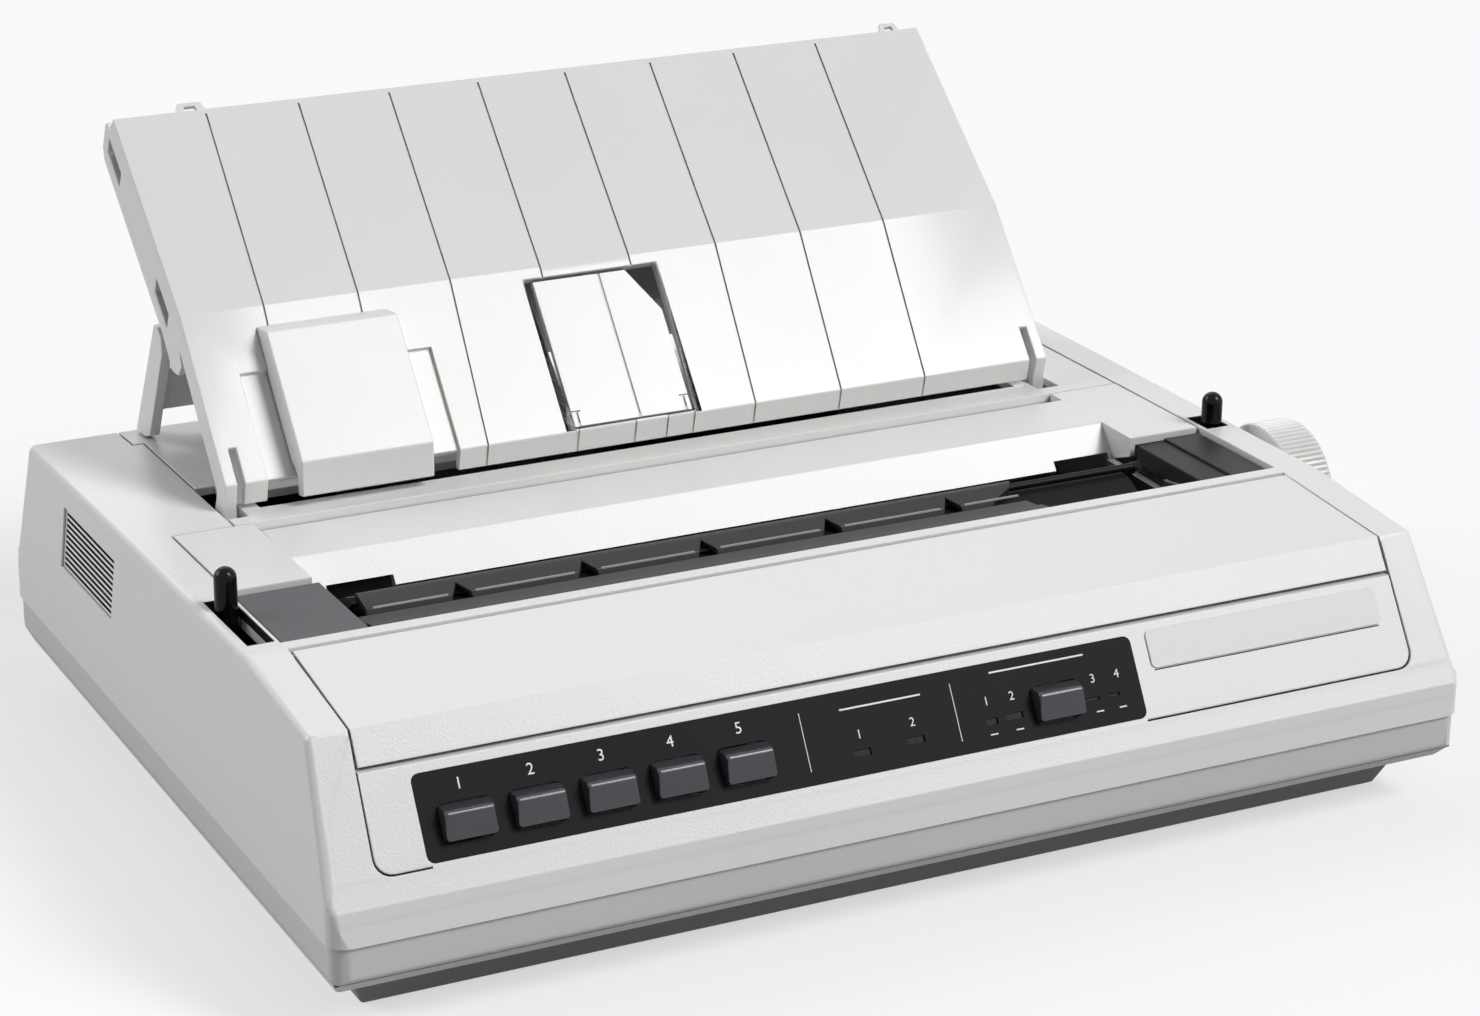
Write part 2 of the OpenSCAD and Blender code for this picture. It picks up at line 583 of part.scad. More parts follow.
module control_panel() color(case_color) {
    difference() {
        intersection() {
            case_shell();
            panel_window(-panel_gap);
            block(-case_w, case_w, y_front - cut, y_rail, 0, access_edge_z - finger_gap);
        }
        on_face(overlay_mid, overlay_x_mid) translate([0, 0, -overlay_t])
            rounded_plate(overlay_x[1] - overlay_x[0] + 0.2, overlay_h + 0.2, 2.3, 4);
        key_holes(8, key_gap);
        light_holes(8);
    }
    for (x = board_posts, dy = [-board_h / 2 + 3, board_h / 2 - 3])
        on_face(overlay_mid, x) translate([0, dy, -panel_board_gap]) cylinder(r = 1.8, h = panel_board_gap - wall_t + 0.2);
    both_sides() block(access_half_front - panel_gap - 8, access_half_front - panel_gap - 5,
        face_y(panel_edge_z) + 4, face_y(panel_edge_z) + 16, panel_edge_z - 4, panel_edge_z + 4);
}
module panel_overlay() color(black) difference() {
    on_face(overlay_mid, overlay_x_mid) translate([0, 0, -overlay_t])
        rounded_plate(overlay_x[1] - overlay_x[0], overlay_h, 2.2, overlay_t + 0.1);
    key_holes(3, key_gap);
    light_holes(3);
}
module panel_lights() color([0.3, 0.08, 0.05]) for (l = lights) on_face(l[1], overlay_x[0] + l[0])
    translate([0, 0, -panel_board_gap]) linear_extrude(panel_board_gap - overlay_t)
        square([l[2] - 0.2, l[3] - 0.2], center = true);
plate_x = [overlay_x[1] + 5.1, access_half_front - 7.5];
plate_z = [57.3, 67];
module name_plate() color([0.82, 0.82, 0.81]) on_face((plate_z[0] + plate_z[1]) / 2, (plate_x[0] + plate_x[1]) / 2)
    rounded_plate(plate_x[1] - plate_x[0], up_face(plate_z[1] - plate_z[0]), 2, 0.5);
module panel_key(i) color(key_color) on_face(key_z, key_xs[i]) {
    intersection() {
        translate([0, 0, -wall_t - 0.2]) rounded_plate(key_w, key_h, 1.2, key_out + wall_t + cut);
        along_x(-key_w, key_w) polygon([[-key_h / 2, -wall_t - cut], [-key_h / 2, key_out_low], [key_h / 2 - key_slope, key_out],
            [key_h / 2, 0.4], [key_h / 2, -wall_t - cut]]);
    }
    translate([0, 0, -wall_t - 0.2 - key_flange]) rounded_plate(key_w + 2, key_h + 2, 2.4, key_flange);
    translate([0, 0, -panel_board_gap + 1.6 + key_travel + air]) cylinder(r = 1.6, h = 2.6, $fn = 24);
}
module panel_board() color(board_color) {
    on_face(overlay_mid, board_mid) translate([-board_w / 2, -board_h / 2, -panel_board_gap - 1.6])
        cube([board_w, board_h, 1.6]);
    for (x = key_xs) on_face(key_z, x) translate([-3, -3, -panel_board_gap - 0.2]) cube([6, 6, 1.8]);
}

// ---------- rear cover, hinged along its rear edge ----------
function dir(a) = [cos(a), sin(a)];
sep_inner = sep_half - sep_side_t;
sep_axis = [y_join + 15.8, middle_z - 6.6];
sep_pin_r = 2;
sep_lug_x = [sep_inner - 5.8, sep_inner - 1.8];
sep_slot_x = [sep_inner - 1.5, sep_half + 2.2];
sep_slot_y = [y_join + 5.8, y_join + 35.8];
paper_slot_y = [y_join + 11.5, y_join + 25];
paper_slot_half = sep_inner - 7.3;
module rear_cover() color(case_color) difference() {
    union() {
        intersection() {
            case_shell();
            translate([0, 0, rear_hinge_z - rear_strip]) linear_extrude(opening_top) {
                rear_plan(0);
                translate([rear_cover_left - rear_ear, y_rear_ear])
                    square([rear_cover_right - rear_cover_left + 2 * rear_ear, y_back - y_rear_ear + cut]);
            }
        }
        block(rear_cover_left + 1, rear_cover_right - 1, y_join, y_join + 2.4, ledge_z + air, deck_z(y_join) - 1);
        translate([0, rear_hinge_y, rear_hinge_z]) {
            rod_x(rear_cover_left - rear_ear, rear_cover_right + rear_ear, 2.4);
            rod_x(rear_cover_left - rear_ear - pin_len, rear_cover_right + rear_ear + pin_len, cover_pin_r);
        }
        both_sides() block(sep_lug_x[0], sep_lug_x[1], sep_axis.x - 4, sep_axis.x + 4, sep_axis.y - 4,
            deck_z(sep_axis.x) - 1);
    }
    both_sides() {
        block(sep_slot_x[0], sep_slot_x[1], sep_slot_y[0], sep_slot_y[1], ledge_z - 3, opening_top);
        translate([0, sep_axis.x, sep_axis.y]) rod_x(sep_lug_x[0] - cut, sep_lug_x[1] + cut, sep_pin_r + run_gap);
    }
    block(-paper_slot_half, paper_slot_half, paper_slot_y[0], paper_slot_y[1], ledge_z - 3, opening_top);
}

// ---------- paper separator ----------
sep_lip = [y_join + sep_lip_back, sep_lip_z];
sep_bend = sep_lip + sep_low_len * dir(sep_low_angle);
sep_top = sep_bend + sep_up_len * dir(sep_up_angle);
n_low = dir(sep_low_angle + 90);
n_up = dir(sep_up_angle + 90);
function low(a, o) = sep_bend + a * dir(sep_low_angle) + o * n_low;
function up(a, o) = sep_bend + a * dir(sep_up_angle) + o * n_up;
function bend_at(o) = sep_bend + o * (n_low + n_up) / (1 + n_low * n_up);
lip_foot = [sep_lip.x + 1.8, deck_z(sep_lip.x) + 1.4];
leg_axis = up(8.5, sep_flange - 0.9 - sep_depth - 16);
leg_pin_r = 2.2;
leg_x = [sep_half - 4.2, sep_half - 0.8];
leg_lug_x = [sep_half - 8, sep_half - 4.6];
leg_round = 7.3;
flange_x = [sep_half - 4.3, sep_half - 1];
slot_len = 11.7;
window_top = -3.5;
flap_x = [window_x0 + 3, window_x1 - 2.1];
flap_t = 2;
flap_in = 0.8;
flap_axis_a = -sep_low_len + 2.6;
flap_pin_r = 0.9;
// Moves its children to the lower or upper part: local Y runs up the front surface, local Z points out of it.
module in_low() translate([0, sep_bend.x, sep_bend.y]) rotate([sep_low_angle, 0, 0]) children();
module in_up() translate([0, sep_bend.x, sep_bend.y]) rotate([sep_up_angle, 0, 0]) children();
groove_mid = -5.4;
groove_lean = 3;
function groove_x(i) = groove_mid + (i - (groove_count - 1) / 2) * groove_pitch;
module groove(x, len) translate([0, 0, -groove_d]) linear_extrude(3) polygon([[x, 0], [x + groove_w, 0],
    [x + groove_w + groove_lean, len], [x + groove_lean, len]]);
module lip_groove(x) along_x(x, x + groove_w) polygon([sep_lip + [-1, 1], sep_lip + [groove_d, 1], sep_lip + [groove_d, 0],
    lip_foot + [groove_d, -1], lip_foot + [-1, -1]]);
module wire_loop(x0, x1, w) in_up() translate([0, 0, -sep_t]) linear_extrude(1.6) difference() {
    polygon([[x0, sep_up_len - 1], [x1, sep_up_len - 1], [x1 - w * 0.2, sep_up_len + 4.4], [x0 + w * 0.2, sep_up_len + 4.4]]);
    polygon([[x0 + w * 0.3, sep_up_len], [x1 - w * 0.3, sep_up_len],
        [x1 - w * 0.35, sep_up_len + 2.8], [x0 + w * 0.35, sep_up_len + 2.8]]);
}
module side_plate() {
    along_x(sep_inner, sep_half) polygon([sep_lip, lip_foot, [sep_axis.x - 4.5, sep_axis.y],
        [sep_axis.x + 4.5, sep_axis.y], [sep_axis.x + 4.5, sep_axis.y + 5], low(2 - sep_low_len, -sep_flange),
        bend_at(-sep_flange), up(sep_up_len, -sep_flange), sep_top, sep_bend]);
    translate([0, sep_axis.x, sep_axis.y]) {
        rod_x(sep_inner, sep_half, 4.5);
        rod_x(sep_lug_x[0] - 0.4, sep_inner + cut, sep_pin_r);
    }
}
module channel_side() in_up() along_x(flange_x[0], flange_x[1]) difference() {
    polygon([[1.3, 0.6 - sep_flange], [73.9, 0.6 - sep_flange], [79, -sep_flange], [80, -11], [77.5, -19.5], [74, -sep_depth], [9, -sep_depth],
        [-4, -sep_depth - 2.2], [-8, -21], [-8.5, -15]]);
    for (a = [9, 62]) polygon([[a, -sep_flange - 1], [a + 13, -sep_flange - 1], [a + 11, -sep_flange - 8], [a - 2, -sep_flange - 8]]);
}
module separator() color(case_color) {
    difference() {
        union() {
            along_x(-sep_half + 0.01, sep_half - 0.01) polygon([sep_lip, sep_bend, sep_top, up(sep_up_len, -sep_t), bend_at(-sep_t),
                low(1.5 - sep_low_len, -sep_t), lip_foot + [2.4, 0.2], lip_foot]);
            along_x(-sep_inner - cut, sep_inner + cut) polygon([sep_top, up(sep_up_len, -sep_flange),
                up(sep_up_len - 2.6, -sep_flange), up(sep_up_len - 2.6, 0)]);
        }
        both_sides() in_low() block(sep_panel_half, sep_half + cut, -sep_low_len - 20, slot_len - sep_low_len, -20, 5);
        for (i = [0:groove_count - 1]) {
            in_up() groove(groove_x(i) - groove_lean, sep_up_len - 2);
            in_low() translate([0, -sep_low_len, 0]) groove(groove_x(i) - 2 * groove_lean, sep_low_len);
            lip_groove(groove_x(i) - 2 * groove_lean);
        }
        for (x = [flap_x[0], (flap_x[0] + flap_x[1]) / 2, flap_x[1]]) lip_groove(x - groove_w / 2);
        in_low() {
            block(guide_recess_x - guide_recess_half, guide_recess_x + guide_recess_half,
                -sep_low_len - 20, -21, -1.5, 5);
            block(guide_recess_x - guide_recess_half, guide_recess_x + guide_recess_half,
                -sep_low_len - 20, 0.5 - sep_low_len, -20, 5);
            block(window_x0, window_x1, 0.9 - sep_low_len, window_top, -20, 5);
            translate([0, flap_axis_a, -flap_in - flap_t / 2])
                rod_x(flap_x[0] - 6, flap_x[1] + 6, flap_pin_r + run_gap);
        }
    }
    both_sides() {
        side_plate();
        channel_side();
        in_up() along_x(leg_lug_x[0], leg_lug_x[1]) difference() {
            union() {
                polygon([[0.5, -sep_depth + 1], [17, -sep_depth + 1], [13.5, -sep_depth - 8], [3.5, -sep_depth - 8]]);
                translate([8.5, sep_flange - 0.9 - sep_depth - 16]) circle(r = 5);
            }
            translate([8.5, sep_flange - 0.9 - sep_depth - 16]) circle(r = leg_pin_r + run_gap);
        }
    }
    in_up() along_x(-flange_x[0] - 0.01, flange_x[0] + 0.01) {
        polygon([[-4, -sep_depth - 2.2], [9, -sep_depth], [74, -sep_depth], [74, 2.2 - sep_depth], [9.2, 2.2 - sep_depth],
            [-3.6, -sep_depth]]);
        polygon([[74, -sep_depth], [77.5, -19.5], [80, -11], [79, -sep_flange], [76.6, -sep_flange], [77.4, -11.2],
            [75.4, -18.6], [73, 2.2 - sep_depth]]);
    }
    wire_loop(20.1 - sep_half, 31.8 - sep_half, 11.7);
    wire_loop(sep_half - 13.8, sep_half - 4.8, 9);
}
foot_gap = 0.3;
leg_foot = [leg_axis.x + 25, deck_z(leg_axis.x + 25) + foot_gap];
leg_back = leg_axis + [5.6, 1.2];
function on_leg(t) = leg_back + t * (leg_foot - leg_back);
leg_in = 2.2 * unit([leg_foot.y - leg_back.y, leg_back.x - leg_foot.x]);
module separator_leg() color(case_color) {
    both_sides() {
        along_x(leg_x[0], leg_x[1]) polygon([leg_axis + [-4.4, -1], leg_axis + [-4.2, 4.2], leg_axis + [-1, 6.9],
            leg_axis + [2.4, 6.9], leg_back, leg_foot, [leg_axis.x + 17, deck_z(leg_axis.x + 17) + foot_gap],
            [leg_axis.x + 11.4, deck_z(leg_axis.x + 11.4) + foot_gap + 1.8]]);
        translate([0, leg_axis.x, leg_axis.y]) rod_x(leg_lug_x[0], leg_x[0] + cut, leg_pin_r);
    }
    along_x(-leg_x[0] - 0.01, leg_x[0] + 0.01) polygon([on_leg(0.32), on_leg(0.76), on_leg(0.76) + leg_in, on_leg(0.32) + leg_in]);
    along_x(-leg_lug_x[0] + 0.5, leg_lug_x[0] - 0.5)
        polygon([on_leg(0.03), on_leg(0.33), on_leg(0.33) + leg_in, on_leg(0.03) + leg_in]);
}
guide_x = guide_recess_x - 1;
guide_lip = low(1.2 - sep_low_len, guide_h);
module paper_guide() color(case_color) along_x(guide_x - guide_w / 2, guide_x + guide_w / 2) polygon([
    low(-6.6, 0.2), low(-11.4, guide_h), guide_lip, [guide_lip.x, sep_lip.y - 5.2], [sep_lip.x - 1, sep_lip.y - 6],
    [sep_lip.x - 0.6, sep_lip.y], low(3 - sep_low_len, 0.2), low(4 - sep_low_len, -1.2), low(-21.5, -1.2), low(-21.3, 0.2)]);
module guide_flap() color(case_color) in_low() {
    translate([0, 0, -flap_in - flap_t]) difference() {
        linear_extrude(flap_t) polygon([[flap_x[0], flap_axis_a - 0.8], [flap_x[1], flap_axis_a - 0.8],
            [flap_x[1], window_top - 15.8], [flap_x[1] - 8.6, window_top - 0.8], [flap_x[0], window_top - 0.8]]);
        block(-4.7, -4.1, -sep_low_len - 10, 0, flap_t - 0.5, flap_t + 1);
        for (x = [flap_x[0], flap_x[1] - 2.2]) {
            block(x - cut, x + 2.2 + cut, flap_axis_a + 4, flap_axis_a + 4.5, flap_t - 0.6, flap_t + 1);
            block(x + (x < 0 ? 1.6 : 0), x + (x < 0 ? 2.2 : 0.6), -sep_low_len, flap_axis_a + 4.5, flap_t - 0.6, flap_t + 1);
        }
    }
    translate([0, flap_axis_a, -flap_in - flap_t / 2]) rod_x(flap_x[0] - 5, flap_x[1] + 5, flap_pin_r);
}

// ---------- paper well: caps, guard, bail ----------
cap_x = [ramp_half, well_half - 1.1];
module cap_top(x0, x1, drop) along_x(x0, x1) polygon([[cap_y[0], cap_z(cap_y[0]) - drop], [cap_y[1], cap_z(cap_y[1]) - drop],
    [cap_y[1], cap_z(cap_y[1]) - cap_t], [cap_y[0], cap_z(cap_y[0]) - cap_t]]);
module cap_skirt(x0, x1) along_x(x0, x1) polygon([[cap_y[0], cap_z(cap_y[0]) - 2], [cap_y[1], cap_z(cap_y[1]) - 2],
    [cap_y[1], platen_z + 11.4], [cap_y[0], platen_z + 11.4]]);
module end_cap_left() color(cap_color) {
    cap_top(-cap_x[1], 1.6 - cap_x[0], 0);
    cap_skirt(-cap_x[0] - 0.4, 1.6 - cap_x[0]);
}
module end_cap_right() color(cap_color) {
    cap_top(cap_x[0] + 11.6, cap_x[1], 0);
    cap_top(cap_x[0] + 1.6, cap_x[0] + 12, 0.9);
    cap_skirt(cap_x[0] + 1.6, cap_x[0] + 3.6);
}
guard_y = [y_well + 0.5, platen_y - 10];
frame_in = platen_half + 7.5;
guard_x1 = frame_in - 48;
frame_out = frame_in + 2.5;
frame_tall = 74;
frame_y = [platen_y - 17, platen_y + 21];
function guard_z(y) = height_on([guard_y[0], 81.8], [guard_y[1], 79.2], y);
guard_step = guard_y[0] + 9.6;
module paper_guard() color(cap_color) {
    along_x(-frame_in, guard_x1) {
        polygon([[guard_y[0], guard_z(guard_y[0])], [guard_step, guard_z(guard_step)],
            [guard_step, guard_z(guard_step) - 1.8], [guard_y[0], guard_z(guard_y[0]) - 1.8]]);
        polygon([[guard_step - 1, guard_z(guard_step - 1) - 1], [guard_y[1], guard_z(guard_y[1]) - 0.6],
            [guard_y[1], guard_z(guard_y[1]) - 1.8], [guard_step - 1, guard_z(guard_step - 1) - 2.4]]);
    }
    along_x(guard_x1 - cut, frame_in) polygon([[guard_y[0], guard_z(guard_y[0])], [guard_y[0] + 2.4, guard_z(guard_y[0]) - 0.3],
        [guard_y[0] + 2.4, guard_z(guard_y[0]) - 1.8], [guard_y[0], guard_z(guard_y[0]) - 1.8]]);
    block(-frame_in, -frame_in + 1.5, frame_y[0] - 2, frame_y[0] + 3, frame_tall - 5, guard_z(frame_y[0]) - 1.4);
    block(frame_in - 1.5, frame_in, frame_y[0] - 2, frame_y[0] + 3, frame_tall - 5, guard_z(frame_y[0]) - 1);
    along_x(frame_in - 1.5, frame_in) polygon([[guard_y[0], guard_z(guard_y[0]) - 0.5], [frame_y[0] + 3, guard_z(frame_y[0] + 3) - 0.9],
        [frame_y[0] + 3, guard_z(frame_y[0] + 3) - 2.4], [guard_y[0], guard_z(guard_y[0]) - 2.4]]);
}
bail_axis = [platen_y + 19, platen_z + 5.1];
bail_rod_r = 1.2;
bail_rod_at = [platen_y - 0.5, platen_z + platen_r + bail_rod_r + 0.4];
bail_arm_x = [frame_in - 4.3, frame_in - 1.7];
bail_pin_r = 1.5;
bail_x1 = guard_x1 - 0.5;
bail_front = platen_y - 7.6;
bail_tabs = [-99.8, -60.2, -21.6, 19.8, 61];
module bail_rod() color(steel) {
    translate([0, bail_rod_at.x, bail_rod_at.y]) rod_x(-bail_arm_x[0] + 0.05, bail_arm_x[0] - 0.05, bail_rod_r);
    both_sides() {
        along_x(bail_arm_x[0], bail_arm_x[1]) polygon([bail_axis + [-1, -3.2], bail_axis + [2.8, -1], bail_axis + [2, 3],
            bail_rod_at + [2.2, 0.6], bail_rod_at + [0, 1.2], bail_rod_at + [-2, 0], bail_rod_at + [-1, -1.2],
            bail_axis + [-3, -1]]);
        translate([0, bail_axis.x, bail_axis.y]) rod_x(bail_arm_x[0], frame_out - 0.3, bail_pin_r);
    }
}
module bail_bar() color(black) difference() {
    along_x(-bail_arm_x[0], bail_x1) difference() {
        polygon([bail_rod_at + [1.9, -0.2], bail_rod_at + [1.9, 1.4], bail_rod_at + [0.6, 2], bail_rod_at + [-1, 1.9],
            [bail_front, 79.6], [bail_front - 1.2, 76.8], [bail_front, 76.6], [bail_front + 1, 78.4],
            bail_rod_at + [-2, -0.3]]);
        translate(bail_rod_at) circle(r = bail_rod_r + 0.01);
    }
    for (x = bail_tabs) translate([x, bail_front - 3, 0]) linear_extrude(front_top)
        polygon([[-4.4, 0], [4.4, 0], [0, 7.6]]);
    translate([bail_x1, bail_front - 3, 0]) linear_extrude(front_top) polygon([[-14, 0], [2, 0], [2, 13], [-2, 7]]);
}

// ---------- levers ----------
lever_axis_z = 38;
release_axis = [release_slot_y[0] + 3.6, lever_axis_z + 3];
stud_r = 3;
hub_r = 6;
hub_w = 4;
// A lever with a round cap, standing on the axis at y, z; the cap starts at the height cap_from.
module lever(x, y, z, cap_from, top) {
    translate([0, y, z]) difference() {
        union() {
            rod_x(x - hub_w / 2, x + hub_w / 2, hub_r);
            block(x - 1.5, x + 1.5, -2.2, 2.2, 0, cap_from - z + 2);
        }
        rod_x(x - hub_w, x + hub_w, stud_r + run_gap);
    }
    translate([x, y, cap_from]) cylinder(r = lever_r, h = top - lever_r - cap_from);
    translate([x, y, top - lever_r]) sphere(r = lever_r);
}
module bail_lever() color(black)
    lever(-lever_x, platen_y, lever_axis_z, platen_z + 12, deck_z(platen_y) + bail_lever_h);
module release_lever() color(black)
    lever(lever_x, release_axis.x, release_axis.y, deck_z(release_axis.x) + 0.9, deck_z(release_axis.x) + release_lever_h);
module lever_brackets() color(steel) {
    for (b = [[-1, platen_y, lever_axis_z], [1, release_axis.x, release_axis.y]]) {
        mirror([b[0] < 0 ? 1 : 0, 0, 0]) {
            block(lever_x - 7.6, lever_x - 4.6, b[1] - 7, b[1] + 7, floor_z, b[2] + 6);
            block(lever_x - 14, lever_x - 4.6, b[1] - 7, b[1] + 7, floor_z, floor_z + 2);
            translate([0, b[1], b[2]]) rod_x(lever_x - 5, lever_x + 3.6, stud_r);
        }
    }
}

// ---------- chassis ----------
chassis_z = floor_z + 1.5;
chassis_half = frame_out + 2;
pulley_x = frame_in - pulley_in;
carriage_x = frame_in - carriage_rest;
board_half = frame_in - 11.5;
rod_y = platen_y - rod_front;
belt_y = rod_y - 28;
belt_z = [39.5, 45.5];
belt_t = 1.2;
rail_y = [belt_y - 18, belt_y + 14];
flange_z = 49;
pulley_shaft_r = 2.5;
press_r = 6;
press_shaft_r = 2;
press_half = platen_half - 18;
press_angle = -75;
press_axis = [platen_y, platen_z] + (platen_r + press_r + 0.32) * dir(press_angle);
gear_angle = -58.4;
platen_gear_r = gear_module * platen_teeth / 2;
idler_r = gear_module * idler_teeth / 2;
pinion_r = gear_module * pinion_teeth / 2;
idler_axis = [platen_y, platen_z] + (platen_gear_r + idler_r + gear_play) * dir(gear_angle);
pinion_axis = idler_axis + (idler_r + pinion_r + gear_play) * dir(gear_angle);
gear_x = -frame_out - 11;
feed_shaft_r = 2;
feed_motor_r = 13.5;
module chassis_plate() color(steel) {
    block(-chassis_half, chassis_half, -case_d / 2 + 18, case_d / 2 - 20, floor_z, chassis_z);
    translate([-pulley_x, belt_y, chassis_z]) {
        cylinder(r = 5, h = belt_z[0] - 2 - chassis_z);
        cylinder(r = pulley_shaft_r, h = flange_z - 0.6 - chassis_z);
    }
    for (x = [12 - board_half, board_half - 12], y = [24, 108]) translate([x, y, chassis_z]) cylinder(r = 3, h = 4.8);
}
module frame_plate() along_x(frame_in, frame_out) polygon([[rail_y[0] - 2, chassis_z], [104, chassis_z], [104, 54],
    [2, 56], [frame_y[1], 64], [frame_y[1], frame_tall], [frame_y[0], frame_tall], [frame_y[0] - 7, 58], [rail_y[0] - 2, 54]]);
module frame_holes() {
    translate([0, platen_y, platen_z]) rod_x(frame_in - cut, frame_out + cut, 7.02);
    translate([0, bail_axis.x, bail_axis.y]) rod_x(frame_in - cut, frame_out + cut, bail_pin_r + run_gap);
    translate([0, press_axis.x, press_axis.y]) rod_x(frame_in - cut, frame_out + cut, press_shaft_r + run_gap);
    translate([0, rod_y, rod_z]) rod_x(frame_in - cut, frame_out + cut, rod_r + 0.02);
}
module frame_feet() for (y = [[platen_y - 20, platen_y - 6], [62, 100]])
    block(frame_in - 8, frame_in + 1, y[0], y[1], chassis_z, chassis_z + 1.5);
module side_frame_right() color(steel) difference() {
    union() { frame_plate(); frame_feet(); }
    frame_holes();
}
module side_frame_left() color(steel) difference() {
    union() {
        mirror([1, 0, 0]) { frame_plate(); frame_feet(); }
        translate([0, idler_axis.x, idler_axis.y]) {
            rod_x(gear_x - 1.5, -frame_in, pulley_shaft_r);
            rod_x(gear_x + gear_w + 0.3, -frame_out + 0.01, 4.5);
        }
    }
    mirror([1, 0, 0]) frame_holes();
    translate([0, pinion_axis.x, pinion_axis.y]) rod_x(-frame_out - cut, -frame_in + cut, feed_shaft_r + 1.5);
}
module front_rail() color(steel) along_x(-frame_in, frame_in) polygon([[rail_y[0], chassis_z], [rail_y[0] + 1.5, chassis_z],
    [rail_y[0] + 1.5, flange_z], [rail_y[1], flange_z], [rail_y[1], flange_z + 1.5], [rail_y[0], flange_z + 1.5]]);
module paper_chute() color(cap_color) along_x(-frame_in, frame_in) polygon([[y_join + 36, 65], [y_join - 22, 55.4],
    [platen_y + 19, platen_z - 12.4], [platen_y + 19, platen_z - 13.9], [y_join - 22, 54], [y_join + 36, 63.6]]);

// ---------- paper feed ----------
module at_platen() translate([0, platen_y, platen_z]) children();
module platen_roller() color(black) at_platen() difference() {
    rod_x(-platen_half, platen_half, platen_r);
    rod_x(-platen_half - cut, platen_half + cut, platen_shaft_r);
}
knob_end = knob_x + knob_w;
module platen_shaft() color(steel) at_platen() rod_x(gear_x - 3, knob_end - 4, platen_shaft_r);
module platen_knob() color(case_color) at_platen() translate([knob_x, 0, 0]) rotate([0, 90, 0]) difference() {
    rotate_extrude() polygon([[0, 0], [knob_r - 1.2, 0], [knob_r, 1.2], [knob_r, knob_w - 1.6], [knob_r - 1.6, knob_w],
        [knob_r - 6, knob_w], [knob_r - 7.4, knob_w - 1.6], [0, knob_w - 1.6]]);
    translate([0, 0, -cut]) cylinder(r = platen_shaft_r, h = knob_w - 3);
}
module platen_bushings() color([0.85, 0.85, 0.8]) at_platen() both_sides() difference() {
    union() {
        rod_x(frame_in, frame_out + 0.5, 7);
        rod_x(frame_out, frame_out + 2.2, 9);
    }
    rod_x(frame_in - cut, frame_out + 4, platen_shaft_r + run_gap);
}
pressure_deg = 20;
backlash = 0.16;
function involute(r, rb) = r <= rb ? 0 : tan(acos(rb / r)) * 180 / PI - acos(rb / r);
function tooth_half(r, n) = let (rp = gear_module * n / 2, rb = rp * cos(pressure_deg))
    90 / n - backlash / (2 * rp) * 180 / PI + involute(rp, rb) - involute(r, rb);
function polar(r, a) = [r * cos(a), r * sin(a)];
function gear_outline(n) = let (rp = gear_module * n / 2, rb = rp * cos(pressure_deg), r0 = rp - 1.2 * gear_module,
    r1 = max(r0 + 0.05, rb), r2 = rp, r3 = rp + 0.85 * gear_module)
    [for (i = [0:n - 1]) let (a = 360 * i / n) each [polar(r0, a - tooth_half(r1, n)), polar(r1, a - tooth_half(r1, n)),
        polar(r2, a - tooth_half(r2, n)), polar(r3, a - tooth_half(r3, n)), polar(r3, a + tooth_half(r3, n)),
        polar(r2, a + tooth_half(r2, n)), polar(r1, a + tooth_half(r1, n)), polar(r0, a + tooth_half(r1, n))]];
module gear(n, turn, bore) along_x(gear_x, gear_x + gear_w) difference() {
    rotate(turn) polygon(gear_outline(n));
    circle(r = bore);
}
idler_turn = gear_angle + 180 + 180 / idler_teeth;
idler_step = 360 / idler_teeth;
idler_off = (gear_angle - idler_turn) - idler_step * floor((gear_angle - idler_turn) / idler_step);
pinion_turn = gear_angle + 180 + idler_off * idler_teeth / pinion_teeth + 180 / pinion_teeth;
module platen_gear() color([0.9, 0.88, 0.8]) at_platen() gear(platen_teeth, gear_angle, platen_shaft_r);
module idler_gear() color([0.9, 0.88, 0.8]) translate([0, idler_axis.x, idler_axis.y])
    gear(idler_teeth, idler_turn, pulley_shaft_r + run_gap);
module motor_pinion() color([0.8, 0.68, 0.35]) translate([0, pinion_axis.x, pinion_axis.y]) {
    gear(pinion_teeth, pinion_turn, feed_shaft_r);
    rod_x(gear_x - 1, -frame_in + 10, feed_shaft_r);
}
module feed_motor() color(steel) translate([0, pinion_axis.x, pinion_axis.y]) difference() {
    rod_x(-frame_in, -frame_in + 20, feed_motor_r);
    rod_x(-frame_in - cut, -frame_in + 10.5, feed_shaft_r + run_gap);
}
module pressure_rollers() color(black) translate([0, press_axis.x, press_axis.y]) {
    rod_x(-frame_out - 0.4, frame_out + 0.4, press_shaft_r);
    for (x = [-press_half, -press_half / 2 + 8, 8, press_half / 2 + 12]) rod_x(x, x + 42, press_r);
}

// ---------- carriage ----------
module guide_rod() color(steel) translate([0, rod_y, rod_z]) rod_x(-frame_out, frame_out, rod_r);
jaw_half = 5;
jaw_y = [belt_y + pulley_r, belt_y + pulley_r + 0.6 + belt_t];
module carriage() color(cap_color) translate([carriage_x, 0, 0]) difference() {
    union() {
        block(-carriage_half, carriage_half, rod_y - 13.5, rod_y + 12, rod_z - 9, rod_z + 10);
        block(-carriage_half + 6, carriage_half - 6, rail_y[0] + 12, rod_y - 12, flange_z + 1.5 + air, rod_z + 10);
        block(-jaw_half, jaw_half, jaw_y[0] - 2, rod_y - 13, belt_z[0] - 2.4, belt_z[1] + 2.4);
        both_sides() block(carriage_half - 5, carriage_half - 1, rod_y - 10, rod_y + 4, rod_z + 9, 61);
    }
    translate([0, rod_y, rod_z]) rod_x(-case_w, case_w, rod_r + run_gap);
    block(-case_w, case_w, jaw_y[0], jaw_y[1], belt_z[0] - air, belt_z[1] + air);
}
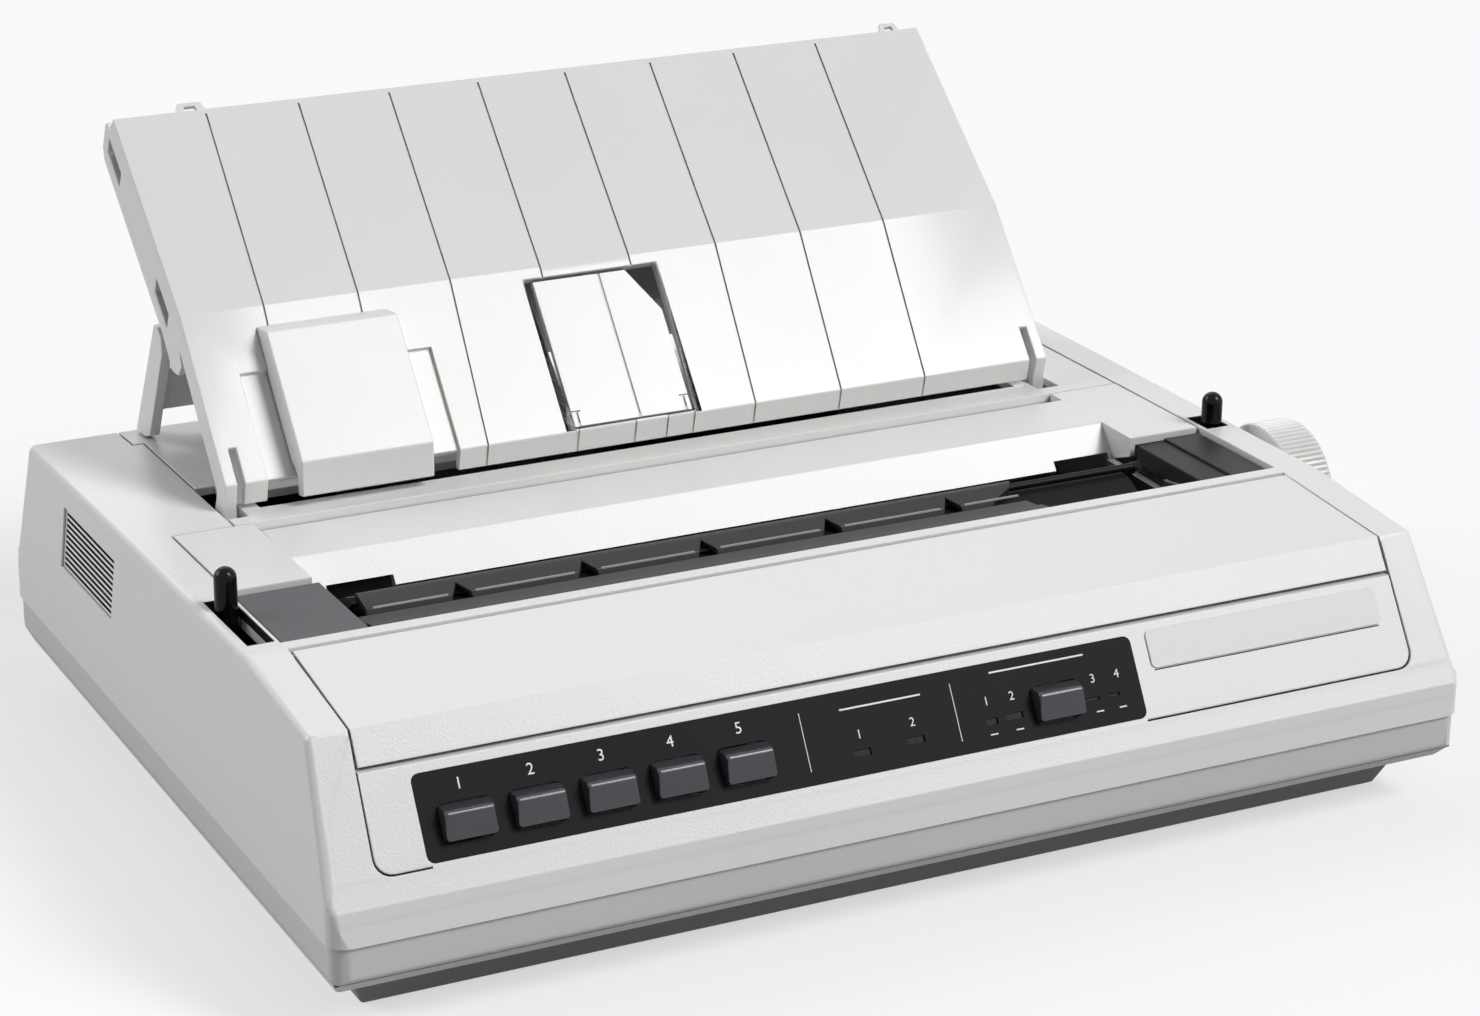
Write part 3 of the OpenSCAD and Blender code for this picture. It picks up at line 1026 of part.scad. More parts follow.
nose_y = platen_y - platen_r - 1.6;
module print_head() color([0.62, 0.63, 0.64]) translate([carriage_x, 0, 0]) {
    block(-13, 13, rod_y - 18, rod_y + 10, rod_z + 10, 66);
    for (i = [0:6]) block(-13, 13, rod_y - 18 + 4 * i, rod_y - 16.4 + 4 * i, 65, 70);
    along_x(-5, 5) polygon([[rod_y + 9, 55], [nose_y, 58], [nose_y, 66.5], [rod_y + 9, 69]]);
}
cartridge_z = [61, 71];
module ribbon_cartridge() color(black) translate([carriage_x, 0, 0]) {
    block(-36, 36, rod_y - 27, rod_y - 19, cartridge_z[0], cartridge_z[1]);
    both_sides() {
        block(14, 36, rod_y - 27, rod_y + 8, cartridge_z[0], cartridge_z[1]);
        block(25, 28, rod_y + 7, platen_y - platen_r - 1.1, cartridge_z[0] - 1, 68);
    }
}
module ink_ribbon() color([0.12, 0.1, 0.16]) translate([carriage_x, 0, 0])
    block(-27, 27, platen_y - platen_r - 1.1, platen_y - platen_r - 0.8, 60.5, 67);
module belt_plan(r) {
    for (x = [-pulley_x, pulley_x]) translate([x, belt_y]) circle(r = r);
    translate([-pulley_x, belt_y - r]) square([2 * pulley_x, 2 * r]);
}
module timing_belt() color(black) translate([0, 0, belt_z[0]]) linear_extrude(belt_z[1] - belt_z[0]) difference() {
    belt_plan(pulley_r + 0.3 + belt_t);
    belt_plan(pulley_r + 0.3);
}
motor_top = 36;
module carriage_motor() color(steel) translate([pulley_x, belt_y, chassis_z]) difference() {
    cylinder(r = 13.5, h = motor_top - chassis_z);
    translate([0, 0, 10]) cylinder(r = pulley_shaft_r + run_gap, h = motor_top);
}
module pulley() {
    translate([0, 0, belt_z[0] - 1.4]) cylinder(r = pulley_r + 1.4, h = 1.1);
    translate([0, 0, belt_z[0] - 1]) cylinder(r = pulley_r, h = belt_z[1] - belt_z[0] + 2);
    translate([0, 0, belt_z[1] + 0.3]) cylinder(r = pulley_r + 1.4, h = 1.1);
}
module motor_pulley() color(steel) translate([pulley_x, belt_y, 0]) {
    pulley();
    translate([0, 0, chassis_z + 10.5]) cylinder(r = pulley_shaft_r, h = belt_z[1] + 1.4 - chassis_z - 10.5);
}
module idler_pulley() color(steel) translate([-pulley_x, belt_y, 0]) difference() {
    pulley();
    cylinder(r = pulley_shaft_r + run_gap, h = 60);
}

// ---------- electronics ----------
board_z = chassis_z + 4.8;
module main_board() color(board_color) {
    block(-board_half, board_half, 14, 116, board_z, board_z + 1.6);
    for (i = [0:4]) block(-90 + 34 * i, -66 + 34 * i, 60, 74, board_z + 1.6, board_z + 6);
    block(-60, -20, 88, 104, board_z + 1.6, board_z + 6);
    for (x = [22 - board_half, 38 - board_half, 60, 76]) translate([x, 34, board_z + 1.6]) cylinder(r = 6, h = 18);
    block(board_half - 26, board_half - 6, 24, 60, board_z + 1.6, board_z + 12);
}
coil_x = [11 - case_w / 2, -chassis_half];
module transformer() color([0.3, 0.3, 0.32]) {
    block(coil_x[0], coil_x[1], 50, 98, floor_z, floor_z + 34);
    block(coil_x[0] + 4, coil_x[1] - 4, 42, 106, floor_z + 6, floor_z + 28);
    block(coil_x[0], coil_x[1], 44, 104, floor_z, floor_z + 2);
}
module mains_inlet() color(black) {
    on_back(inlet_x, port_z) difference() {
        union() {
            translate([0, 0, -11]) cube([inlet_w, inlet_h, 23], center = true);
            translate([0, 0, -wall_t - 1]) cube([inlet_w + 6, inlet_h + 4, 2], center = true);
        }
        translate([0, 0, -6]) cube([inlet_w - 6, inlet_h - 6, 16], center = true);
    }
    on_back(inlet_x, port_z) for (x = [-6, 0, 6]) translate([x - 1, x == 0 ? 0 : -3, -15]) cube([2, 4, 12]);
    on_back(switch_x, port_z) difference() {
        union() {
            translate([0, 0, -7]) cube([switch_w, switch_h, 15], center = true);
            translate([0, 0, -wall_t - 1]) cube([switch_w + 6, switch_h + 4, 2], center = true);
        }
        translate([0, 0, -4]) cube([switch_w - 4, switch_h - 3, 18], center = true);
        rod_x(-switch_w / 2, switch_w / 2, 1.06);
    }
}
module power_switch() color([0.16, 0.16, 0.17]) on_back(switch_x, port_z) {
    along_x(-switch_w / 2 + 2.5, switch_w / 2 - 2.5) polygon([[-5, -1.4], [5, -1.4], [4.6, 1], [0, 0.6], [-4.6, 2.6]]);
    rod_x(-switch_w / 2 + 0.6, switch_w / 2 - 0.6, 1);
}
port_y = y_back - 26;
module interface_connector() color([0.15, 0.2, 0.45]) {
    on_back(port_x, port_z) difference() {
        union() {
            translate([0, 0, -8]) cube([port_w, port_h, 17], center = true);
            translate([0, 0, -wall_t - 1]) cube([port_w + 6, port_h + 4, 2], center = true);
        }
        translate([0, 0, -2]) cube([port_w - 14, port_h - 6, 12], center = true);
    }
    on_back(port_x, port_z) translate([0, 0, -5]) cube([port_w - 20, 3, 8], center = true);
    block(port_x - 26, port_x + 26, port_y, port_y + 1.8, board_z + 1.6, port_z + 4);
    block(port_x - 24, port_x + 24, port_y, port_y + 12, port_z - 4, port_z + 4);
}

base_pan();
rubber_feet();
lower_case();
case_screws();
upper_case();
side_vent();
middle_cover();
rear_cover();
access_cover();
control_panel();
panel_overlay();
panel_lights();
name_plate();
panel_key(0);  // panel_key_1
panel_key(1);  // panel_key_2
panel_key(2);  // panel_key_3
panel_key(3);  // panel_key_4
panel_key(4);  // panel_key_5
panel_key(5);  // panel_key_6
panel_board();
separator();
separator_leg();
paper_guide();
guide_flap();
end_cap_left();
end_cap_right();
paper_guard();
bail_bar();
bail_rod();
bail_lever();
release_lever();
lever_brackets();
side_frame_left();
side_frame_right();
chassis_plate();
front_rail();
paper_chute();
platen_roller();
platen_shaft();
platen_gear();
platen_knob();
platen_bushings();
idler_gear();
feed_motor();
motor_pinion();
pressure_rollers();
guide_rod();
carriage();
print_head();
ribbon_cartridge();
ink_ribbon();
carriage_motor();
motor_pulley();
idler_pulley();
timing_belt();
main_board();
transformer();
mains_inlet();
power_switch();
interface_connector();
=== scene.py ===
import bpy, bmesh, json, math
from mathutils import Matrix, Vector


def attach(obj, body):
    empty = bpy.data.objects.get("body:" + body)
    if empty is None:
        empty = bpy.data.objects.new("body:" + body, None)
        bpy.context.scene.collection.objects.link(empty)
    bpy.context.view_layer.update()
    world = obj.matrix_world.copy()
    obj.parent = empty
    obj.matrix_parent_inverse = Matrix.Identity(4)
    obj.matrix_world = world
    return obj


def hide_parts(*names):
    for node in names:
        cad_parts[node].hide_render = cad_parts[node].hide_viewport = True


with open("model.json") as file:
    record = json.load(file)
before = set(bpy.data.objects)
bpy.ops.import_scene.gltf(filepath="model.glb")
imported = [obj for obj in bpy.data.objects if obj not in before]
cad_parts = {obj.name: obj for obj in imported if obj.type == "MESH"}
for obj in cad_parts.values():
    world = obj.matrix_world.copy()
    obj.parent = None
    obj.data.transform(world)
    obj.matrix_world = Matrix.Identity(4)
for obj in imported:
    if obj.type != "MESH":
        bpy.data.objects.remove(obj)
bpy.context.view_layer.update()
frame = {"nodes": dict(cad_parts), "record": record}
nodes = frame["nodes"]
scene = bpy.context.scene
# Meshes are shaped in mm and go back to metres as pieces.
MM, PER_METRE = 0.001, 1000


# ---------- materials ----------
COAT_ROUGHNESS = 0.16
DRIFT_SCALE, DRIFT_DETAIL = 14, 5
DRIFT_STOPS = (0.3, 0.7)
GRAIN_DETAIL, GRAIN_DEPTH = 2, 0.0002
# Painted shade in narrow gaps: ambient occlusion samples and reach, and how its value maps to a darkening of
# the colour.
PAINTED_SHADE_SAMPLES, PAINTED_SHADE_REACH = 4, 0.0016
PAINTED_SHADE_RANGE = {"From Min": 0.08, "From Max": 0.5, "To Min": 0.06, "To Max": 1}


def node(tree, kind, **values):
    n = tree.nodes.new(kind)
    for key, value in values.items():
        setattr(n, key, value)
    return n


def put(n, **values):
    """Sets a node's input values; an underscore in a name stands for a space."""
    for key, value in values.items():
        n.inputs[key.replace("_", " ")].default_value = value


def shade(color, k):
    return (*[min(1, c * k) for c in color], 1)


def plastic(name, color, rough, grain, bump, vary, spec=0.5, metal=0.0, coat=0.0, painted_gap_shade=False,
            rough_vary=0.06):
    """A moulded surface: fine grain in the bump, slow drift in colour and roughness, and on
    request also painted shade: the colour darkened by ambient occlusion in narrow gaps."""
    m = bpy.data.materials.new(name)
    m.use_nodes = True
    t = m.node_tree
    b = t.nodes["Principled BSDF"]
    put(b, Specular_IOR_Level=spec, Metallic=metal, Coat_Weight=coat, Coat_Roughness=COAT_ROUGHNESS)
    co = node(t, "ShaderNodeTexCoord")
    drift = node(t, "ShaderNodeTexNoise")
    put(drift, Scale=DRIFT_SCALE, Detail=DRIFT_DETAIL)
    t.links.new(co.outputs["Object"], drift.inputs["Vector"])
    ramp = node(t, "ShaderNodeValToRGB")
    for stop, at, k in zip(ramp.color_ramp.elements, DRIFT_STOPS, (1 - vary, 1 + vary)):
        stop.position = at
        stop.color = shade(color, k)
    t.links.new(drift.outputs["Fac"], ramp.inputs["Fac"])
    paint = ramp.outputs["Color"]
    # Painted shade: ambient occlusion darkens the base colour in narrow gaps and creases.
    if painted_gap_shade:
        ao = node(t, "ShaderNodeAmbientOcclusion", samples=PAINTED_SHADE_SAMPLES)
        put(ao, Distance=PAINTED_SHADE_REACH)
        dark = node(t, "ShaderNodeMapRange")
        for key, value in PAINTED_SHADE_RANGE.items():
            dark.inputs[key].default_value = value
        t.links.new(ao.outputs["AO"], dark.inputs["Value"])
        shaded_paint = node(t, "ShaderNodeMix", data_type="RGBA", blend_type="MULTIPLY")
        put(shaded_paint, Factor=1)
        t.links.new(paint, shaded_paint.inputs["A"])
        t.links.new(dark.outputs["Result"], shaded_paint.inputs["B"])
        paint = shaded_paint.outputs["Result"]
    t.links.new(paint, b.inputs["Base Color"])
    gloss = node(t, "ShaderNodeMapRange")
    put(gloss, To_Min=rough - rough_vary, To_Max=rough + rough_vary)
    t.links.new(drift.outputs["Fac"], gloss.inputs["Value"])
    t.links.new(gloss.outputs["Result"], b.inputs["Roughness"])
    if bump:
        g = node(t, "ShaderNodeTexNoise")
        put(g, Scale=grain, Detail=GRAIN_DETAIL)
        t.links.new(co.outputs["Object"], g.inputs["Vector"])
        bp = node(t, "ShaderNodeBump")
        put(bp, Strength=bump, Distance=GRAIN_DEPTH)
        t.links.new(g.outputs["Fac"], bp.inputs["Height"])
        t.links.new(bp.outputs["Normal"], b.inputs["Normal"])
    return m


# slot: name, colour, roughness, grain scale, grain strength, drift in colour
MAT = {
    # The case and the lower case get painted shade in their narrow gaps.
    "case_shell": plastic("case", (0.755, 0.752, 0.74), 0.37, 1300, 0.3, 0.012, coat=0.16, painted_gap_shade=True),
    "lower_shell": plastic("lower", (0.64, 0.634, 0.622), 0.5, 1300, 0.3, 0.015, painted_gap_shade=True),
    "base_plastic": plastic("pan", (0.215, 0.215, 0.213), 0.6, 1200, 0.25, 0.05),
    "dark_trim": plastic("trim", (0.085, 0.088, 0.095), 0.5, 1500, 0.15, 0.04, spec=0.3),
    "black_plastic": plastic("black", (0.015, 0.015, 0.017), 0.42, 1500, 0.12, 0.06, spec=0.3),
    "panel_film": plastic("film", (0.007, 0.007, 0.008), 0.5, 2600, 0.2, 0.04, spec=0.095),
    "key_plastic": plastic("key", (0.032, 0.035, 0.042), 0.3, 1900, 0.12, 0.05, spec=0.65),
    "lamp_lens": plastic("lamp", (0.012, 0.008, 0.007), 0.3, 900, 0.0, 0.1, spec=0.1),
    "label": plastic("label", (0.72, 0.72, 0.71), 0.35, 2200, 0.05, 0.01),
    "lever_cap": plastic("lever", (0.003, 0.003, 0.0035), 0.17, 700, 0.02, 0.05, spec=0.16,
                         rough_vary=0.02),
    "rubber": plastic("rubber", (0.007, 0.007, 0.008), 0.6, 900, 0.3, 0.08, spec=0.12),
    "steel": plastic("steel", (0.5, 0.51, 0.52), 0.32, 500, 0.08, 0.05, metal=1.0),
    "black_steel": plastic("black_steel", (0.016, 0.0165, 0.018), 0.38, 900, 0.08, 0.05, spec=0.25),
    "gear_plastic": plastic("acetal", (0.7, 0.68, 0.58), 0.45, 900, 0.06, 0.03),
    "brass": plastic("brass", (0.6, 0.42, 0.15), 0.3, 600, 0.08, 0.05, metal=1.0),
    "circuit_board": plastic("board", (0.02, 0.12, 0.04), 0.35, 300, 0.1, 0.15),
    "cast_alloy": plastic("cast", (0.33, 0.34, 0.36), 0.5, 800, 0.25, 0.06, metal=1.0),
    "ribbon_fabric": plastic("ribbon", (0.012, 0.011, 0.02), 0.8, 2200, 0.5, 0.1),
    "core_iron": plastic("core", (0.06, 0.06, 0.065), 0.55, 400, 0.3, 0.1, metal=0.3),
    "connector_blue": plastic("connector", (0.02, 0.05, 0.16), 0.4, 900, 0.1, 0.04),
    # Deep black for faces and parts that stand for shade: painted shade.
    "deep_black": plastic("deep_black", (0.006, 0.006, 0.007), 0.4, 900, 0.1, 0.05, spec=0.1),
    # A darker copy of the trim colour for the right end cap: painted shade.
    "painted_shade_trim": plastic("painted_shade_trim", (0.016, 0.017, 0.019), 0.45, 1500, 0.15, 0.05, spec=0.14),
    "guard_trim": plastic("guard_trim", (0.034, 0.036, 0.04), 0.5, 1500, 0.15, 0.05, spec=0.25),
    "print_white": plastic("print", (0.88, 0.88, 0.87), 0.6, 2200, 0.1, 0.03),
    "print_dark": plastic("print_dark", (0.02, 0.02, 0.021), 0.6, 2200, 0.1, 0.03, spec=0.2),
    # A light grey for thin strips that stand for highlights: painted highlight.
    "painted_highlight": plastic("painted_highlight", (0.32, 0.32, 0.33), 0.5, 1500, 0.2, 0.1),
}
NODE_MAT = {s["node"]: s["material_slot"] for s in frame["record"]["subparts"]}


def dress(o, mat):
    o.data.materials.clear()
    o.data.materials.append(mat)


# ---------- the case's outer surface, in mm ----------
HALF_X, HALF_Y, CORNER = 180, 140, 6.0
LEAN = math.radians(6)
Z_PARTING = 29.0
SKIRT, RIDGE = (-138.2, 38.7), (-114.2, 79.6)
# The (y, z) outline from the front's parting line over the deck to the back's.
OUTLINE = [(-140.0, Z_PARTING), SKIRT, RIDGE, (-65.7, 83.7), (32.2, 82.6), (131.6, 81.1), (140.0, Z_PARTING)]
# Fillets between planes of the outline: (plane, next plane, radius).
ROUNDS = [(0, 1, 2.6), (1, 2, 3.4), (4, 5, 3.2)]
SIDE_ROUND = 2.9
# Planes with a smaller squared sine between them get no fillet, nor do points too near its centre line.
NEAR_PARALLEL, NEAR_CENTRE = 0.04, 0.3
# Where strips are cut beside an edge, as shares of its fillet's width.
STRIP_SHARES = (0.18, 0.36, 0.54, 0.72, 0.88, 1.0, 1.12)
CUT_SNAP = 0.02
ON_SURFACE = 0.06
ABOVE_PARTING = 0.5


def yz_plane(p, q):
    """The plane through two (y, z) points that follow each other in the outline, as its outward
    normal and its distance."""
    d = Vector((0, q[0] - p[0], q[1] - p[1])).normalized()
    n = Vector((0, -d.z, d.y))
    return n, n.dot(Vector((0, p[0], p[1])))


PROFILE = [yz_plane(a, b) for a, b in zip(OUTLINE, OUTLINE[1:])]
SIDES = [(Vector((s * math.cos(LEAN), 0, math.sin(LEAN))),
          HALF_X * math.cos(LEAN) + SKIRT[1] * math.sin(LEAN)) for s in (-1, 1)]


def in_fillet(a, b, c, r):
    """The share of each normal in a point's offset from a fillet's centre line, or None outside
    the fillet's wedge. a and b are the point's distances from the planes, c the normals' cosine."""
    k = 1 - c * c
    if k < NEAR_PARALLEL:
        return None
    al, be = ((a + r) - c * (b + r)) / k, ((b + r) - c * (a + r)) / k
    return (al, be) if al > 0 and be > 0 else None


def profile_at(p):
    """How far p is outside the rounded outline, and the outline's normal there."""
    best = max(((n.dot(p) - d, i) for i, (n, d) in enumerate(PROFILE)))
    for i, j, r in ROUNDS:
        (n1, d1), (n2, d2) = PROFILE[i], PROFILE[j]
        w = in_fillet(n1.dot(p) - d1, n2.dot(p) - d2, n1.dot(n2), r)
        if w:
            v = w[0] * n1 + w[1] * n2
            if v.length > NEAR_CENTRE * r:
                return v.length - r, v.normalized()
    return best[0], PROFILE[best[1]][0]


def side_at(p):
    """How far p is outside the leaning side or its upright corner, and the normal there."""
    s = 1 if p.x > 0 else -1
    n, d = SIDES[0 if s < 0 else 1]
    out = (n.dot(p) - d, n)
    cx, cy = HALF_X - CORNER, HALF_Y - CORNER
    if abs(p.x) > cx and abs(p.y) > cy:
        v = Vector((p.x - s * cx, p.y - math.copysign(cy, p.y), 0))
        if v.length - CORNER > out[0]:
            out = (v.length - CORNER, v.normalized())
    return out


def round_case(bm):
    """Cuts strips along the case's long edges and moves their points on to round fillets, always inward."""
    cuts = []
    pairs = [(PROFILE[i], PROFILE[j], r) for i, j, r in ROUNDS]
    pairs += [(plane, side, SIDE_ROUND) for plane in PROFILE for side in SIDES]
    for (n1, d1), (n2, d2), r in pairs:
        turn = n1.angle(n2)
        width = math.sin(turn) * r * math.tan(turn / 2)
        for share in STRIP_SHARES:
            cuts += [(n1, d1 - width * share), (n2, d2 - width * share)]
    for n, d in cuts:
        bmesh.ops.bisect_plane(bm, geom=bm.verts[:] + bm.edges[:] + bm.faces[:], dist=CUT_SNAP,
                               plane_co=n * d, plane_no=n)
    for v in bm.verts:
        p = v.co
        if p.z < Z_PARTING - ABOVE_PARTING:
            continue
        a, n = profile_at(p)
        if a > 0:
            p -= n * a
        a, n = profile_at(p)
        b, m = side_at(p)
        w = in_fillet(a, b, n.dot(m), SIDE_ROUND)
        if w:
            u = w[0] * n + w[1] * m
            if u.length > SIDE_ROUND:
                p -= u * (1 - SIDE_ROUND / u.length)
        v.co = p


def outer_face(f):
    return all(max(profile_at(v.co)[0], side_at(v.co)[0]) > -ON_SURFACE for v in f.verts)


# ---------- from a solid's mesh to a dressed piece ----------
BEVEL_ANGLE = math.radians(26)
WELD, FLAT = 0.004, math.radians(0.5)
SHORTEST_EDGE = 1.5
SMOOTH_DEGREES, KNOB_SMOOTH_DEGREES = 34, 40
# A crisp piece also keeps a slight fold sharp where both its faces are larger than this, in mm2.
FOLD_DEGREES, LARGE_FACE = 6, 150


def sharp_edges(bm):
    return [e for e in bm.edges if len(e.link_faces) == 2 and e.calc_face_angle(0) > BEVEL_ANGLE]


def mid(e):
    return (e.verts[0].co + e.verts[1].co) / 2


def bevel(bm, edges, width, segments):
    bmesh.ops.bevel(bm, geom=edges, offset=width, offset_type="OFFSET", segments=segments,
                    profile=0.5, affect="EDGES", clamp_overlap=False)


def from_node(name):
    bm = bmesh.new()
    bm.from_mesh(nodes[name].data)
    for v in bm.verts:
        v.co *= PER_METRE
    bmesh.ops.remove_doubles(bm, verts=bm.verts, dist=WELD)
    bmesh.ops.dissolve_limit(bm, angle_limit=FLAT, verts=bm.verts, edges=bm.edges)
    return bm


def to_piece(bm, name, mat, body, replaces=(), sharp=SMOOTH_DEGREES, crisp=False):
    """Makes a mesh in mm a piece of the scene. Its faces with material index 1 turn deep black, as painted
    shade.
    """
    for e in bm.edges:
        turn = math.degrees(e.calc_face_angle(0)) if len(e.link_faces) == 2 else 180
        fold = crisp and turn > FOLD_DEGREES and min(f.calc_area() for f in e.link_faces) > LARGE_FACE
        e.smooth = turn < sharp and not fold
    for f in bm.faces:
        f.smooth = True
    for v in bm.verts:
        v.co *= MM
    me = bpy.data.meshes.new(name)
    painted_shade_faces = [f.material_index for f in bm.faces]
    bm.to_mesh(me)
    bm.free()
    o = bpy.data.objects.new(name, me)
    scene.collection.objects.link(o)
    dress(o, MAT[mat])
    # Painted shade: the marked faces get another, deep black material.
    if any(painted_shade_faces):
        o.data.materials.append(MAT["deep_black"])
        o.data.polygons.foreach_set("material_index", painted_shade_faces)
    o.modifiers.new("normals", "WEIGHTED_NORMAL").keep_sharp = True
    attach(o, body)
    if replaces:
        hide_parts(*replaces)


# ---------- the case's pieces ----------
CASE = {"upper_case": "base", "access_cover": "access_cover", "control_panel": "base",
        "rear_cover": "rear_cover", "middle_cover": "base"}
SEAM_BEVEL, SEAM_SHORTEST = 0.4, 1.2
# Beveled points up to this far outside are drawn back on to the surface.
FARTHEST_OUT = 5
# The slots of the two levers: (x of the middle, y of the front end, y of the rear end).
LEVER_SLOTS = [(-167.8, -59.4, -22.8), (167.8, -20.8, -8.6)]
SLOT_HALF, SLOT_LOWEST = 4.2, 60


def in_lever_slot(f):
    return f.calc_center_median().z > SLOT_LOWEST and not outer_face(f) and any(
        all(abs(v.co.x - x) < SLOT_HALF and y0 < v.co.y < y1 for v in f.verts) for x, y0, y1 in LEVER_SLOTS)


def case_piece(node_name, body, mat):
    bm = from_node(node_name)
    outer = {f for f in bm.faces if outer_face(f)}
    pick = [e for e in sharp_edges(bm) if (e.link_faces[0] in outer) != (e.link_faces[1] in outer)
            and e.calc_length() > SEAM_SHORTEST and e.verts[0].co.z > Z_PARTING + ABOVE_PARTING]
    bevel(bm, pick, SEAM_BEVEL, 2)
    for v in bm.verts:
        for surface in (side_at, profile_at):
            a, n = surface(v.co)
            if 0.0 < a < FARTHEST_OUT:
                v.co -= n * a
    round_case(bm)
    # The lever slots' inner walls turn deep black: painted shade.
    for f in bm.faces:
        f.material_index = 1 if in_lever_slot(f) else 0
    to_piece(bm, node_name + "_skin", mat, body, (node_name,))


def vent():
    """The louvred insert: its slats stay light, and the faces in the gaps between them turn deep black as
    painted shade.
    """
    bm = from_node("side_vent")
    for f in bm.faces:
        if abs(f.normal.x) < 0.5:
            f.material_index = 1
    to_piece(bm, "side_vent_skin", "case_shell", "base", ("side_vent",))


for name, o in nodes.items():
    if name not in CASE:
        dress(o, MAT[NODE_MAT[name]])
# Parts inside the case are dressed deep black: painted shade for the dark interior.
for name in ("bail_rod", "paper_chute", "front_rail", "guide_rod"):
    dress(nodes[name], MAT["deep_black"])
for name, body in CASE.items():
    case_piece(name, body, NODE_MAT[name])
vent()


# ---------- softened copies of other solids ----------
def softened(node_name, body, mat, width, segments, pick):
    """A copy of a solid with the picked ones of its sharp edges rounded."""
    bm = from_node(node_name)
    edges = [e for e in sharp_edges(bm) if e.calc_length() > SHORTEST_EDGE and pick(e)]
    bevel(bm, edges, width, segments)
    to_piece(bm, node_name + "_skin", mat, body, (node_name,), crisp=True)


def longer_than(length):
    return lambda e: e.calc_length() > length


def any_edge(e):
    return True


# The separator's guide lines lie within this half width and have smaller faces than this, in mm2.
LINES_HALF, LINE_FACE = 125, 70
SMALLEST_FACE = 6
# The lower case's outer edges are past this far out and under this height.
LOWER_OUT, LOWER_TOP = 168, 27
PAN_X, PAN_Y = 155, 110


def separator_edge(e):
    """Not the walls of the guide lines in the panel, nor its smallest facets."""
    small = min(f.calc_area() for f in e.link_faces)
    faces_x = max(abs(f.normal.x) for f in e.link_faces) > 0.9
    if abs(mid(e).x) < LINES_HALF and faces_x and small < LINE_FACE:
        return False
    return small > SMALLEST_FACE


def lower_case_edge(e):
    return max(abs(mid(e).x) - 0.5, abs(mid(e).y) + 39.5) > LOWER_OUT and mid(e).z < LOWER_TOP


def base_pan_edge(e):
    return abs(mid(e).x) > PAN_X or abs(mid(e).y) > PAN_Y


def guide_flap_edge(e):
    return mid(e).z > 0 and e.calc_length() > 4


# node, body, material, width in mm, segments, edges
for row in [
    ("separator", "separator", "case_shell", 0.5, 2, separator_edge),
    ("lower_case", "base", "lower_shell", 1.3, 4, lower_case_edge),
    ("base_pan", "base", "base_plastic", 1.2, 3, base_pan_edge),
    ("separator_leg", "separator_leg", "case_shell", 0.5, 2, any_edge),
    ("paper_guide", "paper_guide", "case_shell", 0.55, 3, any_edge),
    ("guide_flap", "guide_flap", "case_shell", 0.3, 2, guide_flap_edge),
    ("end_cap_left", "base", "dark_trim", 0.5, 3, any_edge),
    # The right end cap takes the darker trim copy, painted shade.
    ("end_cap_right", "base", "painted_shade_trim", 0.5, 3, any_edge),
    ("paper_guard", "base", "guard_trim", 0.3, 2, longer_than(5)),
    ("bail_bar", "bail", "black_steel", 0.3, 2, longer_than(3)),
    *[(f"panel_key_{i}", f"key_{i}", "key_plastic", 1.1, 4, longer_than(2)) for i in range(1, 7)],
    ("name_plate", "base", "label", 0.15, 1, any_edge),
]:
    softened(*row)

# ---------- painted highlights along the bail's front edges ---
BAIL_ENDS = (-127, 84)
NOTCHES, NOTCH_HALF = [-99.8, -60.2, -21.6, 19.8, 61], 4.2
HIGHLIGHT_SECTION = [(-38.78, 79.25), (-38.68, 79.68), (-38.3, 79.75), (-38.3, 79.4)]


def quads(bm, a, b):
    """Joins two rings of points with a face for each side."""
    for i in range(len(a)):
        j = (i + 1) % len(a)
        bm.faces.new((a[i], a[j], b[j], b[i]))


# A thin light strip along a tab's upper front edge: a painted highlight.
def bail_highlight(name, x0, x1):
    bm = bmesh.new()
    a = [bm.verts.new((x0, y, z)) for y, z in HIGHLIGHT_SECTION]
    b = [bm.verts.new((x1, y, z)) for y, z in HIGHLIGHT_SECTION]
    quads(bm, a, b)
    bm.faces.new(list(reversed(a)))
    bm.faces.new(b)
    bmesh.ops.recalc_face_normals(bm, faces=bm.faces[:])
    to_piece(bm, name, "painted_highlight", "bail")


starts = [BAIL_ENDS[0]] + [x + NOTCH_HALF for x in NOTCHES]
stops = [x - NOTCH_HALF for x in NOTCHES] + [BAIL_ENDS[1]]
for i, (x0, x1) in enumerate(zip(starts, stops)):
    bail_highlight(f"bail_highlight_{i + 1}", x0, x1)

# ---------- the knob's ribs ----------
KNOB = (177.0, -31.0, 62.9)
RIBS, GROOVE = 80, 0.7
# (distance along the axis, radius, depth of the grooves there) from the case out, then into the dished end
KNOB_STEPS = [(0.0, 21.1, 0), (0.5, 21.9, 0.4), (1.3, 22.3, 1), (13.2, 22.3, 1), (14.2, 21.9, 0.5),
              (14.7, 21.1, 0), (15.0, 20.2, 0), (15.0, 16.6, 0), (14.6, 15.8, 0), (13.4, 15.0, 0),
              (13.4, 2.5, 0)]
# (share of a rib's turn, depth in the groove) from one groove over the rib
RIB_SPOTS = [(-0.5, 1), (-0.3, 0.5), (-0.2, 0), (0.2, 0), (0.3, 0.5)]


